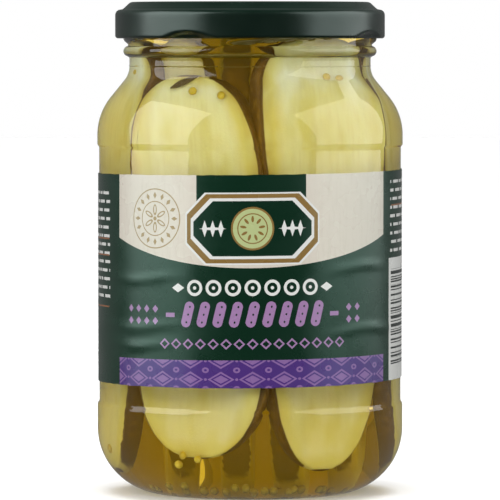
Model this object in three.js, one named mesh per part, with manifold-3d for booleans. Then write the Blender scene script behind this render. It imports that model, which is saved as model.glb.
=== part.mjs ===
// A shut glass jar of long sliced gherkins: the glass, its twist-off lid, the paper label
// and the gherkin slices that stand in it. Millimetres, +Z up, the jar's front towards -Y.
// The origin is the middle of the ring that the jar stands on.

import * as THREE from "three";
import { mergeVertices } from "three/addons/utils/BufferGeometryUtils.js";
import Module from "manifold-3d";

const wasm = await Module();
wasm.setup();

// Driving dimensions

const FACETS = 48; // flats round the jar and the label
const JAR_RADIUS = 41.3; // at the two bumper rings that shield the label
const LID_RADIUS = 36.45;
const JAR_WITH_LID_HEIGHT = 132.7;

// Glass, outside
const PUSH_UP = 3.2; // how far the middle of the base is domed in
const REST_RING = { inner: 22.2, outer: 23.6 };
const HEEL_RADIUS = JAR_RADIUS - REST_RING.outer;
const LOWER_BUMPER_TOP = 24.0;
const UPPER_BUMPER_BOTTOM = 94.3;
const PANEL_RADIUS = 40.8; // the recess that holds the label
const PANEL = { bottom: 25.1, top: 93.5 };
const SHOULDER = { radius: 16.2, z: 96.8 };
const NECK_CURVE = { radius: 6.0, z: 115.4 };
const NECK_RADIUS = 32.6;
const BEAD = { radius: 1.42, at: 32.8, z: 119.4 };
const FINISH_RADIUS = 32.95;
const RIM = { z: 131.2, outerRound: 1.3, innerRound: 1.1 };

// Glass, inside
const MOUTH_RADIUS = 30.0;
const BORE_RADIUS = 38.5;
const INNER_HEEL_RADIUS = 14.0;
const FLOOR = { z: 3.6, crown: 2.5 };

// Four threads, each a low ridge that climbs a quarter turn
const THREADS = 4;
const THREAD = { radius: 1.1, proud: 1.3, start: -12, turn: 88, z: 122.25, rise: 4.0, steps: 9 };
const THREAD_FADE = { share: 0.1, depth: 1.2 }; // the stretch at each end that sinks into the wall

// Lid
const LID = { skirtBottom: 122.85, wall: 0.75, cornerRound: 1.5, cornerZ: 129.14 };
const CURL_RADIUS = 0.8;
const SHELF = { radius: 34.5, z: 130.72 }; // where the rounded corner meets the raised crown
const CROWN = { middle: 31.6, inner: 28.6, round: 1.75, outerSlope: 42, innerSlope: 1.6 };
const CROWN_UNDERSIDE = { inset: 0.9, outer: 31.9, z: 131.5 };
const CENTRE_PANEL = { z: 131.8, thickness: 0.5 };
const BUTTON = { radius: 12.0, step: 1.2, lift: 0.35 };
const LID_FACETS = 64;

// Four lugs that grip the threads: there the curled edge is pressed inwards
const LUGS = 4;
const LUG = { azimuth: -27.5, halfAngle: 13, reach: 1.45, top: 125.1, slope: 1.5 };

// Label: paper that leaves a strip of glass bare behind, put on slightly crooked
const LABEL = { bottom: 31.0, top: 87.1, gapFacets: 2, clearance: 0.08, thickness: 0.2 };
const LABEL_CLIMB = 0.37; // millimetres of height for each radian round the jar

// Gherkin slices: six stand round the wall with a cut face outwards, six fill the middle
const SLICE_THICKNESS = 7.0;
const SLICE_SIDES = 14;
const SLICE_RINGS = 9;
const BLUNTNESS = 5.2; // of a gherkin's foot
const OFF_CENTRE = 2.5; // how far out of a wall slice's middle its gherkin's axis lies
const SLAB_STATIONS = [-0.1, 0.5, 0.6, 0.7, 0.8, 0.9, 1.0, 1.1]; // shares of a slice's length
const GLASS_CLEARANCE = 0.4;
const FILLING_TOP = 124.4;
const CORE = { radius: 27.6, bottom: 18, top: 98 };

// Where a slice stands: its azimuth, the height of its foot, how far its face is from the axis,
// and how far it is moved `sideways`. Its form: `bend` bows it sideways, `slant` tilts it
// sideways, `curl` bends its head in, `fuller` makes it wider towards the head, and `head` is
// how blunt its head is.
const STRAIGHT = { sideways: 0, lean: 0, bend: 0, curl: 0, slant: 0, fuller: 0.12, head: 5.2 };
const LEFT_FRONT = { width: 37.7, length: 100.4, lean: 1.2, bend: 3.0, curl: 2.0, slant: -2.6, fuller: 0 };
const RIGHT_FRONT = { width: 35.9, length: 114.5, lean: 1.2, bend: 0.2, curl: 5.5, slant: 1.6, head: 9 };
const WALL_SLICES = [
  { azimuth: -27.4, foot: 12.2, face: 34.2, ...STRAIGHT, ...LEFT_FRONT },
  { azimuth: 35.8, foot: 9.2, face: 34.2, ...STRAIGHT, ...RIGHT_FRONT },
  { azimuth: 98, foot: 9.6, face: 33.8, ...STRAIGHT, width: 33, length: 113.5, lean: 1.4, curl: 4.5 },
  { azimuth: 158, foot: 8.6, face: 34.2, ...STRAIGHT, width: 35, length: 110, lean: 1.5, curl: 4.5 },
  { azimuth: 217, foot: 9.6, face: 34.0, ...STRAIGHT, width: 36, length: 109, lean: 1.4, curl: 4.5 },
  { azimuth: 277, foot: 9.4, face: 33.1, ...STRAIGHT, width: 33, length: 113.5, lean: 1.4, curl: 2.5 },
];
const SIDE = { ...STRAIGHT, azimuth: 88 };
const MIDDLE_SLICES = [
  { ...SIDE, foot: 9.2, face: 22.5, sideways: 1.2, width: 22, length: 100, bend: -0.8 },
  { ...SIDE, foot: 7.6, face: 12.0, sideways: -4.5, width: 34, length: 98, bend: -1.0 },
  { ...SIDE, foot: 8.0, face: 0.8, sideways: -4.5, width: 34, length: 115, bend: 0.8, head: 9 },
  { ...SIDE, foot: 8.6, face: -10.5, sideways: 1.0, width: 22, length: 98, bend: 1.0 },
  { ...STRAIGHT, azimuth: 180, foot: 9.0, face: 20.5, width: 34, length: 115, bend: 0.6, head: 9 },
  { ...STRAIGHT, azimuth: -30, foot: 25, face: 22.3, sideways: -6.5, width: 14.5, length: 99, head: 9 },
];

// Mustard seeds that cling to the slices' outer faces
const SEED_RADIUS = 1.15;
const SEED_SINK = 0.7; // share of a seed's radius that is sunk in the flesh
const SEEDS_ON_A_SLICE = 4;
const SEED_PATCHES = { foot: 0.06, head: 0.84, length: 0.1, width: 0.8 }; // shares of a slice
const SEED_RANDOM_START = 7;

// Materials

const clearGlass = new THREE.MeshStandardMaterial({ color: 0xdfe6dc, roughness: 0.05, metalness: 0 });
const greenLacquer = new THREE.MeshStandardMaterial({ color: 0x12352a, roughness: 0.35, metalness: 0.1 });
const printedPaper = new THREE.MeshStandardMaterial({ color: 0x1d4a36, roughness: 0.5, metalness: 0 });
const pickledGherkin = new THREE.MeshStandardMaterial({ color: 0xcdbf6a, roughness: 0.45, metalness: 0 });

// Helpers

const radians = THREE.MathUtils.degToRad;

// Points of a circular arc in a profile. The angles are in degrees, counted from straight outwards.
function arc(centreRadius, centreZ, radius, from, to, steps) {
  return Array.from({ length: steps + 1 }, (_, i) => {
    const angle = radians(from + ((to - from) * i) / steps);
    return new THREE.Vector2(centreRadius + radius * Math.cos(angle), centreZ + radius * Math.sin(angle));
  });
}

const at = (radius, z) => new THREE.Vector2(radius, z);

// A shallow dome over the axis, from its rim (radius, z) to the middle, which is `lift` higher.
function dome(rim, lift, steps) {
  return Array.from({ length: steps + 1 }, (_, i) => {
    const share = 1 - i / steps;
    return at(rim.x * share, rim.y + lift * (1 - share * share));
  });
}

// Turns a profile of (radius, z) points round the Z axis. Azimuth 0 is the front, -Y.
function turned(profile, facets = FACETS) {
  return new THREE.LatheGeometry(profile, facets).rotateX(Math.PI / 2);
}

// Moves each vertex of a geometry to the place that `moved` gives for its azimuth, radius and
// height. Azimuths are in degrees.
function reshaped(geometry, moved) {
  const places = geometry.attributes.position;
  for (let i = 0; i < places.count; i += 1) {
    const [x, y] = [places.getX(i), places.getY(i)];
    const azimuth = Math.atan2(x, -y);
    const to = moved(THREE.MathUtils.radToDeg(azimuth), Math.hypot(x, y), places.getZ(i));
    places.setXYZ(i, to.radius * Math.sin(azimuth), -to.radius * Math.cos(azimuth), to.z);
  }
  return geometry;
}

// A closed geometry as a solid that can be joined and cut.
function solid(geometry) {
  const bare = geometry.index ? geometry.toNonIndexed() : geometry.clone();
  bare.deleteAttribute("normal");
  bare.deleteAttribute("uv");
  const merged = mergeVertices(bare, 1e-4);
  const corners = merged.index.array;
  const kept = [];
  for (let i = 0; i < corners.length; i += 3) {
    const [a, b, c] = corners.slice(i, i + 3);
    if (a !== b && b !== c && c !== a) kept.push(a, b, c);
  }
  return new wasm.Manifold(
    new wasm.Mesh({
      numProp: 3,
      vertProperties: merged.attributes.position.array,
      triVerts: new Uint32Array(kept),
    }),
  );
}

function geometryOf(shape) {
  const mesh = shape.getMesh();
  const geometry = new THREE.BufferGeometry();
  geometry.setAttribute("position", new THREE.BufferAttribute(new Float32Array(mesh.vertProperties), 3));
  geometry.setIndex(new THREE.BufferAttribute(new Uint32Array(mesh.triVerts), 1));
  geometry.computeVertexNormals();
  return geometry;
}

const joined = (shapes) => shapes.reduce((whole, shape) => whole.add(shape));

// The angle at which a straight shoulder leaves the round of the body to meet the neck's curve
function shoulderAngle(bodyRound, neckRound) {
  const across = NECK_RADIUS + NECK_CURVE.radius - (JAR_RADIUS - SHOULDER.radius);
  const up = NECK_CURVE.z - SHOULDER.z;
  const apart = Math.hypot(across, up);
  const turn = Math.atan2(up, across) - Math.acos((bodyRound + neckRound) / apart);
  return THREE.MathUtils.radToDeg(turn);
}

// The shoulder from the body up to the neck, for the outside or, with other rounds, the inside
function shoulder(bodyRound, neckRound, steps) {
  const angle = shoulderAngle(bodyRound, neckRound);
  const bodyCentre = JAR_RADIUS - SHOULDER.radius;
  const neckCentre = NECK_RADIUS + NECK_CURVE.radius;
  return [
    ...arc(bodyCentre, SHOULDER.z, bodyRound, 0, angle, steps),
    ...arc(neckCentre, NECK_CURVE.z, neckRound, 180 + angle, 180, steps - 2),
  ];
}

// Outline of the jar's inside, from the mouth down to the middle of its floor. The allowance
// takes it in all round, for what stands inside with a little room.
function insideOutline(allowance = 0) {
  const neckRound = NECK_RADIUS + NECK_CURVE.radius - MOUTH_RADIUS + allowance;
  const bodyRound = BORE_RADIUS - (JAR_RADIUS - SHOULDER.radius) - allowance;
  const heelRound = INNER_HEEL_RADIUS - allowance;
  const heelCentre = { x: BORE_RADIUS - INNER_HEEL_RADIUS, z: FLOOR.z + INNER_HEEL_RADIUS };
  return [
    ...shoulder(bodyRound, neckRound, 5).reverse(),
    ...arc(heelCentre.x, heelCentre.z, heelRound, 0, -90, 5),
    ...dome(at(heelCentre.x, FLOOR.z + allowance), FLOOR.crown, 3).slice(1),
  ];
}

// Glass

function glassProfile() {
  const rimInner = MOUTH_RADIUS + RIM.innerRound;
  const rimOuter = FINISH_RADIUS - RIM.outerRound;
  return [
    ...dome(at(REST_RING.inner, 0), PUSH_UP, 3).reverse(),
    ...arc(REST_RING.outer, HEEL_RADIUS, HEEL_RADIUS, -90, 0, 8),
    at(JAR_RADIUS, LOWER_BUMPER_TOP),
    at(PANEL_RADIUS, PANEL.bottom),
    at(PANEL_RADIUS, PANEL.top),
    at(JAR_RADIUS, UPPER_BUMPER_BOTTOM),
    ...shoulder(SHOULDER.radius, NECK_CURVE.radius, 5),
    ...arc(BEAD.at, BEAD.z, BEAD.radius, -82, 82, 6),
    ...arc(rimOuter, RIM.z - RIM.outerRound, RIM.outerRound, 0, 90, 2),
    ...arc(rimInner, RIM.z - RIM.innerRound, RIM.innerRound, 90, 180, 2),
    ...insideOutline(),
  ];
}

// A thread's centreline. Both ends sink into the wall, so that the ridge fades out.
class ThreadLine extends THREE.Curve {
  constructor(start) {
    super();
    this.start = start;
  }
  getPoint(share, target = new THREE.Vector3()) {
    const azimuth = radians(this.start + THREAD.turn * share);
    const fade = 1 - Math.min(1, Math.min(share, 1 - share) / THREAD_FADE.share);
    const radius = FINISH_RADIUS + THREAD.proud - THREAD.radius - THREAD_FADE.depth * fade * fade;
    const z = THREAD.z + THREAD.rise * share;
    return target.set(radius * Math.sin(azimuth), -radius * Math.cos(azimuth), z);
  }
}

function thread(index) {
  const section = new THREE.Shape().absarc(0, 0, THREAD.radius, 0, 2 * Math.PI);
  const ridge = new THREE.ExtrudeGeometry(section, {
    extrudePath: new ThreadLine(THREAD.start + (360 / THREADS) * index),
    steps: THREAD.steps,
    curveSegments: 4,
  });
  return solid(ridge);
}

function glass() {
  const threads = Array.from({ length: THREADS }, (_, i) => thread(i));
  return geometryOf(joined([solid(turned(glassProfile())), ...threads]));
}

// Lid

function lidProfile() {
  const skirtInside = LID_RADIUS - LID.wall;
  const curl = { x: LID_RADIUS - CURL_RADIUS, z: LID.skirtBottom + CURL_RADIUS };
  const cornerCentre = LID_RADIUS - LID.cornerRound;
  const crownTop = JAR_WITH_LID_HEIGHT;
  const panelTop = CENTRE_PANEL.z;
  const panelEdge = CROWN.inner - CROWN.innerSlope / 4;
  return [
    at(0, panelTop - CENTRE_PANEL.thickness),
    at(CROWN.inner - CROWN_UNDERSIDE.inset, panelTop - CENTRE_PANEL.thickness),
    at(CROWN.inner, CROWN_UNDERSIDE.z),
    at(CROWN_UNDERSIDE.outer, CROWN_UNDERSIDE.z),
    at(skirtInside, LID.cornerZ),
    at(skirtInside, LUG.top),
    at(skirtInside, curl.z + CURL_RADIUS),
    ...arc(curl.x, curl.z, CURL_RADIUS, 170, 370, 5),
    at(LID_RADIUS, LUG.top),
    ...arc(cornerCentre, LID.cornerZ, LID.cornerRound, 0, 76, 3),
    at(SHELF.radius, SHELF.z),
    ...arc(CROWN.middle, crownTop - CROWN.round, CROWN.round, CROWN.outerSlope, 90, 2),
    at(panelEdge + CROWN.innerSlope, crownTop),
    at(panelEdge, panelTop),
    at(BUTTON.radius + BUTTON.step, panelTop),
    at(BUTTON.radius, panelTop + BUTTON.lift),
    at(0, panelTop + BUTTON.lift),
  ];
}

// How far the lid's edge is pressed in at an azimuth and a height
function lugDepth(azimuth, z) {
  const spacing = 360 / LUGS;
  const offset = THREE.MathUtils.euclideanModulo(azimuth - LUG.azimuth + spacing / 2, spacing) - spacing / 2;
  const across = Math.max(0, 1 - (offset / LUG.halfAngle) ** 2);
  const edge = LID.skirtBottom + (LUG.top - LID.skirtBottom) * across;
  const height = THREE.MathUtils.clamp((edge - z) / LUG.slope, 0, 1);
  return LUG.reach * Math.sqrt(across) * height;
}

function lid() {
  const pressed = (azimuth, radius, z) => ({ radius: radius - lugDepth(azimuth, z), z });
  return reshaped(turned(lidProfile(), LID_FACETS).rotateZ(radians(LUG.azimuth)), pressed);
}

// Label

// The label's plan is a ring that is open behind. Its height is added by extruding, and every
// point is then raised by its place round the jar, because the paper was put on crooked.
function label() {
  const inner = PANEL_RADIUS + LABEL.clearance;
  const outer = inner + LABEL.thickness;
  const flats = FACETS - LABEL.gapFacets;
  const azimuthOf = (i) => ((i - flats / 2) * 2 * Math.PI) / FACETS;
  const plan = (radius, i) =>
    new THREE.Vector2(radius * Math.sin(azimuthOf(i)), -radius * Math.cos(azimuthOf(i)));
  const steps = Array.from({ length: flats + 1 }, (_, i) => i);
  const outline = [...steps.map((i) => plan(outer, i)), ...steps.reverse().map((i) => plan(inner, i))];
  const sheet = new THREE.ExtrudeGeometry(new THREE.Shape(outline), {
    depth: LABEL.top - LABEL.bottom,
    bevelEnabled: false,
  });
  return reshaped(sheet, (azimuth, radius, z) => ({
    radius,
    z: z + LABEL.bottom + LABEL_CLIMB * radians(azimuth),
  }));
}

// Gherkin slices

// A gherkin's width at a share of its length, as a share of its full width
function girth(share, { fuller, head }) {
  const along = 2 * share - 1;
  const bluntness = along > 0 ? head : BLUNTNESS;
  const blunt = Math.sqrt(Math.max(0, 1 - Math.pow(Math.abs(along), bluntness)));
  return blunt * (1 + fuller * along);
}

// How far a slice's upper half curls towards the jar's middle, at a share of its length
const curlAt = (share, curl) => curl * Math.max(0, 2 * share - 1) ** 2;

// How far a slice is bowed and tilted sideways, at a share of its length
function asideAt(share, { bend, slant }) {
  const along = 2 * share - 1;
  return bend * (1 - along * along) + slant * along;
}

// A plate as thick as a slice, which curls as the slice does. It is wider and longer than it.
function slab({ width, length, curl }) {
  const side = (face) => (share) => new THREE.Vector2(curlAt(share, curl) + face, length * share);
  const front = SLAB_STATIONS.map(side(-SLICE_THICKNESS / 2));
  const back = SLAB_STATIONS.map(side(SLICE_THICKNESS / 2));
  const section = new THREE.Shape([...front, ...back.reverse()]);
  const upright = new THREE.Matrix4().makeBasis(
    new THREE.Vector3(0, 1, 0),
    new THREE.Vector3(0, 0, 1),
    new THREE.Vector3(1, 0, 0),
  );
  const plate = new THREE.ExtrudeGeometry(section, { depth: 2 * width, bevelEnabled: false });
  return plate.translate(0, 0, -width).applyMatrix4(upright);
}

// One slice cut lengthwise from a gherkin whose axis lies `offCentre` out of the slice's middle.
// It stands on the XY plane with its cut faces towards -Y and +Y.
function slice(form, offCentre) {
  const { width, length, curl } = form;
  const outline = Array.from({ length: SLICE_RINGS + 1 }, (_, i) => {
    const share = (1 - Math.cos((Math.PI * i) / SLICE_RINGS)) / 2;
    const end = i === 0 || i === SLICE_RINGS;
    return at(end ? 0 : (width / 2) * girth(share, form), length * share);
  });
  const gherkin = turned(outline, SLICE_SIDES);
  const places = gherkin.attributes.position;
  for (let i = 0; i < places.count; i += 1) {
    const share = places.getZ(i) / length;
    places.setX(i, places.getX(i) + asideAt(share, form));
    places.setY(i, places.getY(i) - offCentre + curlAt(share, curl));
  }
  return solid(gherkin).intersect(solid(slab(form)));
}

// Stands a slice's outer face at a distance from the jar's axis, its head leaning in.
function standing(shape, { azimuth, face, sideways, lean, foot }) {
  const depth = face - SLICE_THICKNESS / 2;
  return shape.rotate([-lean, 0, 0]).translate([sideways, -depth, foot]).rotate([0, 0, azimuth]);
}

function seededRandom(start) {
  let state = start;
  return () => {
    state = (state * 16807) % 2147483647;
    return state / 2147483647;
  };
}

// Seeds on a slice's outer face, most of them near its ends
function seeds(form, random) {
  const { width, length, curl } = form;
  const proud = (1 - SEED_SINK) * SEED_RADIUS;
  return Array.from({ length: SEEDS_ON_A_SLICE }, (_, i) => {
    const patch = i % 2 ? SEED_PATCHES.foot : SEED_PATCHES.head;
    const share = patch + SEED_PATCHES.length * random();
    const reach = (random() - 0.5) * width * SEED_PATCHES.width * girth(share, form);
    const across = reach + asideAt(share, form);
    const depth = curlAt(share, curl) - SLICE_THICKNESS / 2 - proud;
    const ball = new THREE.SphereGeometry(SEED_RADIUS, 6, 4);
    return solid(ball.translate(across, depth, length * share));
  });
}

function slices() {
  const random = seededRandom(SEED_RANDOM_START);
  const wall = WALL_SLICES.map((place) =>
    standing(joined([slice(place, OFF_CENTRE), ...seeds(place, random)]), place),
  );
  const middle = MIDDLE_SLICES.map((place) => standing(slice(place, 0), place));
  const { radius, bottom, top } = CORE;
  const core = solid(turned([at(0, bottom), at(radius, bottom), at(radius, top), at(0, top)], 24));
  const neck = [at(MOUTH_RADIUS - GLASS_CLEARANCE, FILLING_TOP), at(0, FILLING_TOP)];
  const room = solid(turned([...insideOutline(GLASS_CLEARANCE).reverse(), ...neck]));
  return geometryOf(joined([core, ...wall, ...middle]).intersect(room));
}

// The jar

const jar = new THREE.Group();

function add(name, geometry, material) {
  const mesh = new THREE.Mesh(geometry, material);
  mesh.name = name;
  jar.add(mesh);
}

add("jar_glass", glass(), clearGlass);
add("lid", lid(), greenLacquer);
add("label", label(), printedPaper);
add("gherkin_slices", slices(), pickledGherkin);

export default jar;
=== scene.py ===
"""A shut glass jar of long sliced gherkins in brine, dressed for rendering.

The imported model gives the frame. Each of its four nodes is replaced by finer pieces of the same
form: the glass, the twist-off lid, the paper label and the gherkin slices. The brine and the
mustard seeds come in between. Lengths are millimetres unless a name says otherwise, and azimuths
are degrees round the jar, counted from the front towards the right.
"""

import logging
import math
import random
from collections.abc import Callable, Iterable, Sequence
from dataclasses import dataclass
from enum import Enum

import bpy
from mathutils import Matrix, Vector, noise


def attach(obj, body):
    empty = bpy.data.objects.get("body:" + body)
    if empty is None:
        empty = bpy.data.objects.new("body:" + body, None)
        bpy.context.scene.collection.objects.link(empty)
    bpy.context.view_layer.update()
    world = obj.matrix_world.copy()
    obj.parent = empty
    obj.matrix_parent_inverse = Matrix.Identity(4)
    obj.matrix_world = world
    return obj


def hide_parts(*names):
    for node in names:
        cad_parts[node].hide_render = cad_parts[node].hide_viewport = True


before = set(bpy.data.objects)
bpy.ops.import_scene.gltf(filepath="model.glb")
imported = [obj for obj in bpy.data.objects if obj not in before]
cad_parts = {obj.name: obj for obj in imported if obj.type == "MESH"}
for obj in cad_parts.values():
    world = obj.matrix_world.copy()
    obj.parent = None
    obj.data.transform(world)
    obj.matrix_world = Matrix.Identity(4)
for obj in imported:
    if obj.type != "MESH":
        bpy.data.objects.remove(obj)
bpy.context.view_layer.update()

MM = 0.001
BODY = "root"

Point = tuple[float, float]
Colour = tuple[float, float, float]
Place = tuple[float, float, float]
Socket = bpy.types.NodeSocket
Value = float | Socket

log = logging.getLogger("pickle_jar")


class Node(Enum):
    """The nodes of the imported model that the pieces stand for."""

    GLASS = "jar_glass"
    LID = "lid"
    LABEL = "label"
    SLICES = "gherkin_slices"


class Slot(Enum):
    """The record's material slots."""

    GLASS = "glass"
    LID = "lid_lacquer"
    PAPER = "label_paper"
    GHERKIN = "gherkin"


# Outlines


def arc(centre: Point, radius: float, start: float, end: float, steps: int) -> list[Point]:
    """Gives points of a circular arc.

    Args:
        centre: The arc's centre, as radius and height.
        radius: The arc's radius.
        start: The first point's direction in degrees, counted from straight outwards.
        end: The last point's direction.
        steps: How many stretches the arc is divided into.

    Returns:
        The arc's points, both ends among them.
    """
    turns = [math.radians(start + (end - start) * i / steps) for i in range(steps + 1)]
    return [(centre[0] + radius * math.cos(a), centre[1] + radius * math.sin(a)) for a in turns]


def dome(rim: Point, lift: float, steps: int) -> list[Point]:
    """Gives points of a shallow dome, from its rim to the axis.

    Args:
        rim: The rim, as radius and height.
        lift: How much higher the middle is than the rim.
        steps: How many stretches the dome is divided into.

    Returns:
        The dome's points, the last on the axis.
    """
    shares = [1 - i / steps for i in range(steps + 1)]
    return [(rim[0] * s, rim[1] + lift * (1 - s * s)) for s in shares]


# Modelling


def deselect() -> None:
    """Deselects every object, so that an operator acts on the new piece alone."""
    bpy.ops.object.select_all(action="DESELECT")


def make_active(piece: bpy.types.Object) -> None:
    """Selects one piece and makes it the active object.

    Args:
        piece: The piece.
    """
    deselect()
    piece.select_set(True)
    bpy.context.view_layer.objects.active = piece


def apply_place(piece: bpy.types.Object) -> None:
    """Moves a piece's place, turn and scale from the object into its mesh."""
    make_active(piece)
    bpy.ops.object.transform_apply(location=True, rotation=True, scale=True)


def apply_modifier(piece: bpy.types.Object, kind: str, **settings: object) -> None:
    """Adds a modifier to a piece and applies it.

    Args:
        piece: The piece to change.
        kind: The modifier's type.
        **settings: Values for the modifier's own properties.
    """
    modifier = piece.modifiers.new(kind.lower(), kind)
    for key, value in settings.items():
        setattr(modifier, key, value)
    make_active(piece)
    bpy.ops.object.modifier_apply(modifier=modifier.name)


def turned(name: str, outline: Sequence[Point], segments: int) -> bpy.types.Object:
    """Models a closed turned shape: a disc whose edge is extruded from ring to ring.

    Args:
        name: The new piece's name.
        outline: Radius and height of each ring. The first and last points are on the axis.
        segments: How many flats the shape has round the axis.

    Returns:
        The new piece, with its normals outwards.
    """
    (_, start_height), (radius, height) = outline[:2]
    deselect()
    bpy.ops.mesh.primitive_circle_add(vertices=segments, radius=radius * MM, fill_type="TRIFAN")
    piece = bpy.context.object
    piece.name = piece.data.name = name
    for vertex in piece.data.vertices:
        vertex.co.z = (height if vertex.co.length > radius * MM / 2 else start_height) * MM
    bpy.ops.object.mode_set(mode="EDIT")
    bpy.ops.mesh.select_mode(type="EDGE")
    bpy.ops.mesh.select_all(action="SELECT")
    bpy.ops.mesh.region_to_loop()
    for next_radius, next_height in outline[2:]:
        rise = (0, 0, (next_height - height) * MM)
        bpy.ops.mesh.extrude_region_move(TRANSFORM_OT_translate={"value": rise})
        if next_radius == 0:
            bpy.ops.mesh.merge(type="CENTER")
            break
        factor = next_radius / radius
        centre = (0, 0, next_height * MM)
        bpy.ops.transform.resize(value=(factor, factor, 1), center_override=centre)
        radius, height = next_radius, next_height
    bpy.ops.mesh.select_all(action="SELECT")
    bpy.ops.mesh.normals_make_consistent(inside=False)
    bpy.ops.object.mode_set(mode="OBJECT")
    return piece


def reshape(piece: bpy.types.Object, rule: Callable[[Vector], Vector]) -> None:
    """Moves each vertex of a piece to the place that a rule gives for it.

    Args:
        piece: The piece to change.
        rule: Takes a vertex's place and gives the new one, both in millimetres.
    """
    for vertex in piece.data.vertices:
        vertex.co = rule(vertex.co / MM) * MM


def reshape_round(
    piece: bpy.types.Object, rule: Callable[[float, float, float], Point]
) -> None:
    """Moves each vertex of a piece within its own half plane through the jar's axis.

    Args:
        piece: The piece to change.
        rule: Takes a vertex's azimuth, radius and height and gives its new radius and height.
    """

    def moved(place: Vector) -> Vector:
        """Gives a vertex's new place by the rule.

        Args:
            place: The vertex's place.

        Returns:
            The new place, in the same half plane.
        """
        azimuth = math.atan2(place.x, -place.y)
        radius, height = rule(math.degrees(azimuth), math.hypot(place.x, place.y), place.z)
        return Vector((radius * math.sin(azimuth), -radius * math.cos(azimuth), height))

    reshape(piece, moved)


def shade_smooth(piece: bpy.types.Object, angle: float) -> None:
    """Shades a piece smooth, apart from edges sharper than an angle in degrees."""
    make_active(piece)
    bpy.ops.object.shade_smooth_by_angle(angle=math.radians(angle))


def bump_between(value: float, centre: float, half_width: float) -> float:
    """Gives 1 at a centre, falling smoothly to 0 at half a width on either side."""
    across = 1 - ((value - centre) / half_width) ** 2
    return max(0.0, across) ** 2


def angle_from(azimuth: float, other: float) -> float:
    """Gives the signed angle in degrees from one azimuth to another, at most half a turn."""
    return (azimuth - other + 180) % 360 - 180


def seat(
    piece: bpy.types.Object, material: bpy.types.Material | None, slot: Slot, *nodes: Node
) -> None:
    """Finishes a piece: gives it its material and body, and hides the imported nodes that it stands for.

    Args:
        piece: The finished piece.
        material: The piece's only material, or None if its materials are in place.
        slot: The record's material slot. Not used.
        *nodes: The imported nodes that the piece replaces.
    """
    if material is not None:
        piece.data.materials.clear()
        piece.data.materials.append(material)
    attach(piece, BODY)
    if nodes:
        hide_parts(*[node.value for node in nodes])
    log.info("%s: %d faces", piece.name, len(piece.data.polygons))


# Materials


def srgb(red: int, green: int, blue: int) -> Colour:
    """Gives the linear colour for screen values from 0 to 255.

    Args:
        red: The red level.
        green: The green level.
        blue: The blue level.

    Returns:
        The linear colour.
    """

    def linear(level: int) -> float:
        """Gives one level's linear value."""
        share = level / 255
        return share / 12.92 if share <= 0.04045 else ((share + 0.055) / 1.055) ** 2.4

    return linear(red), linear(green), linear(blue)


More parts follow.
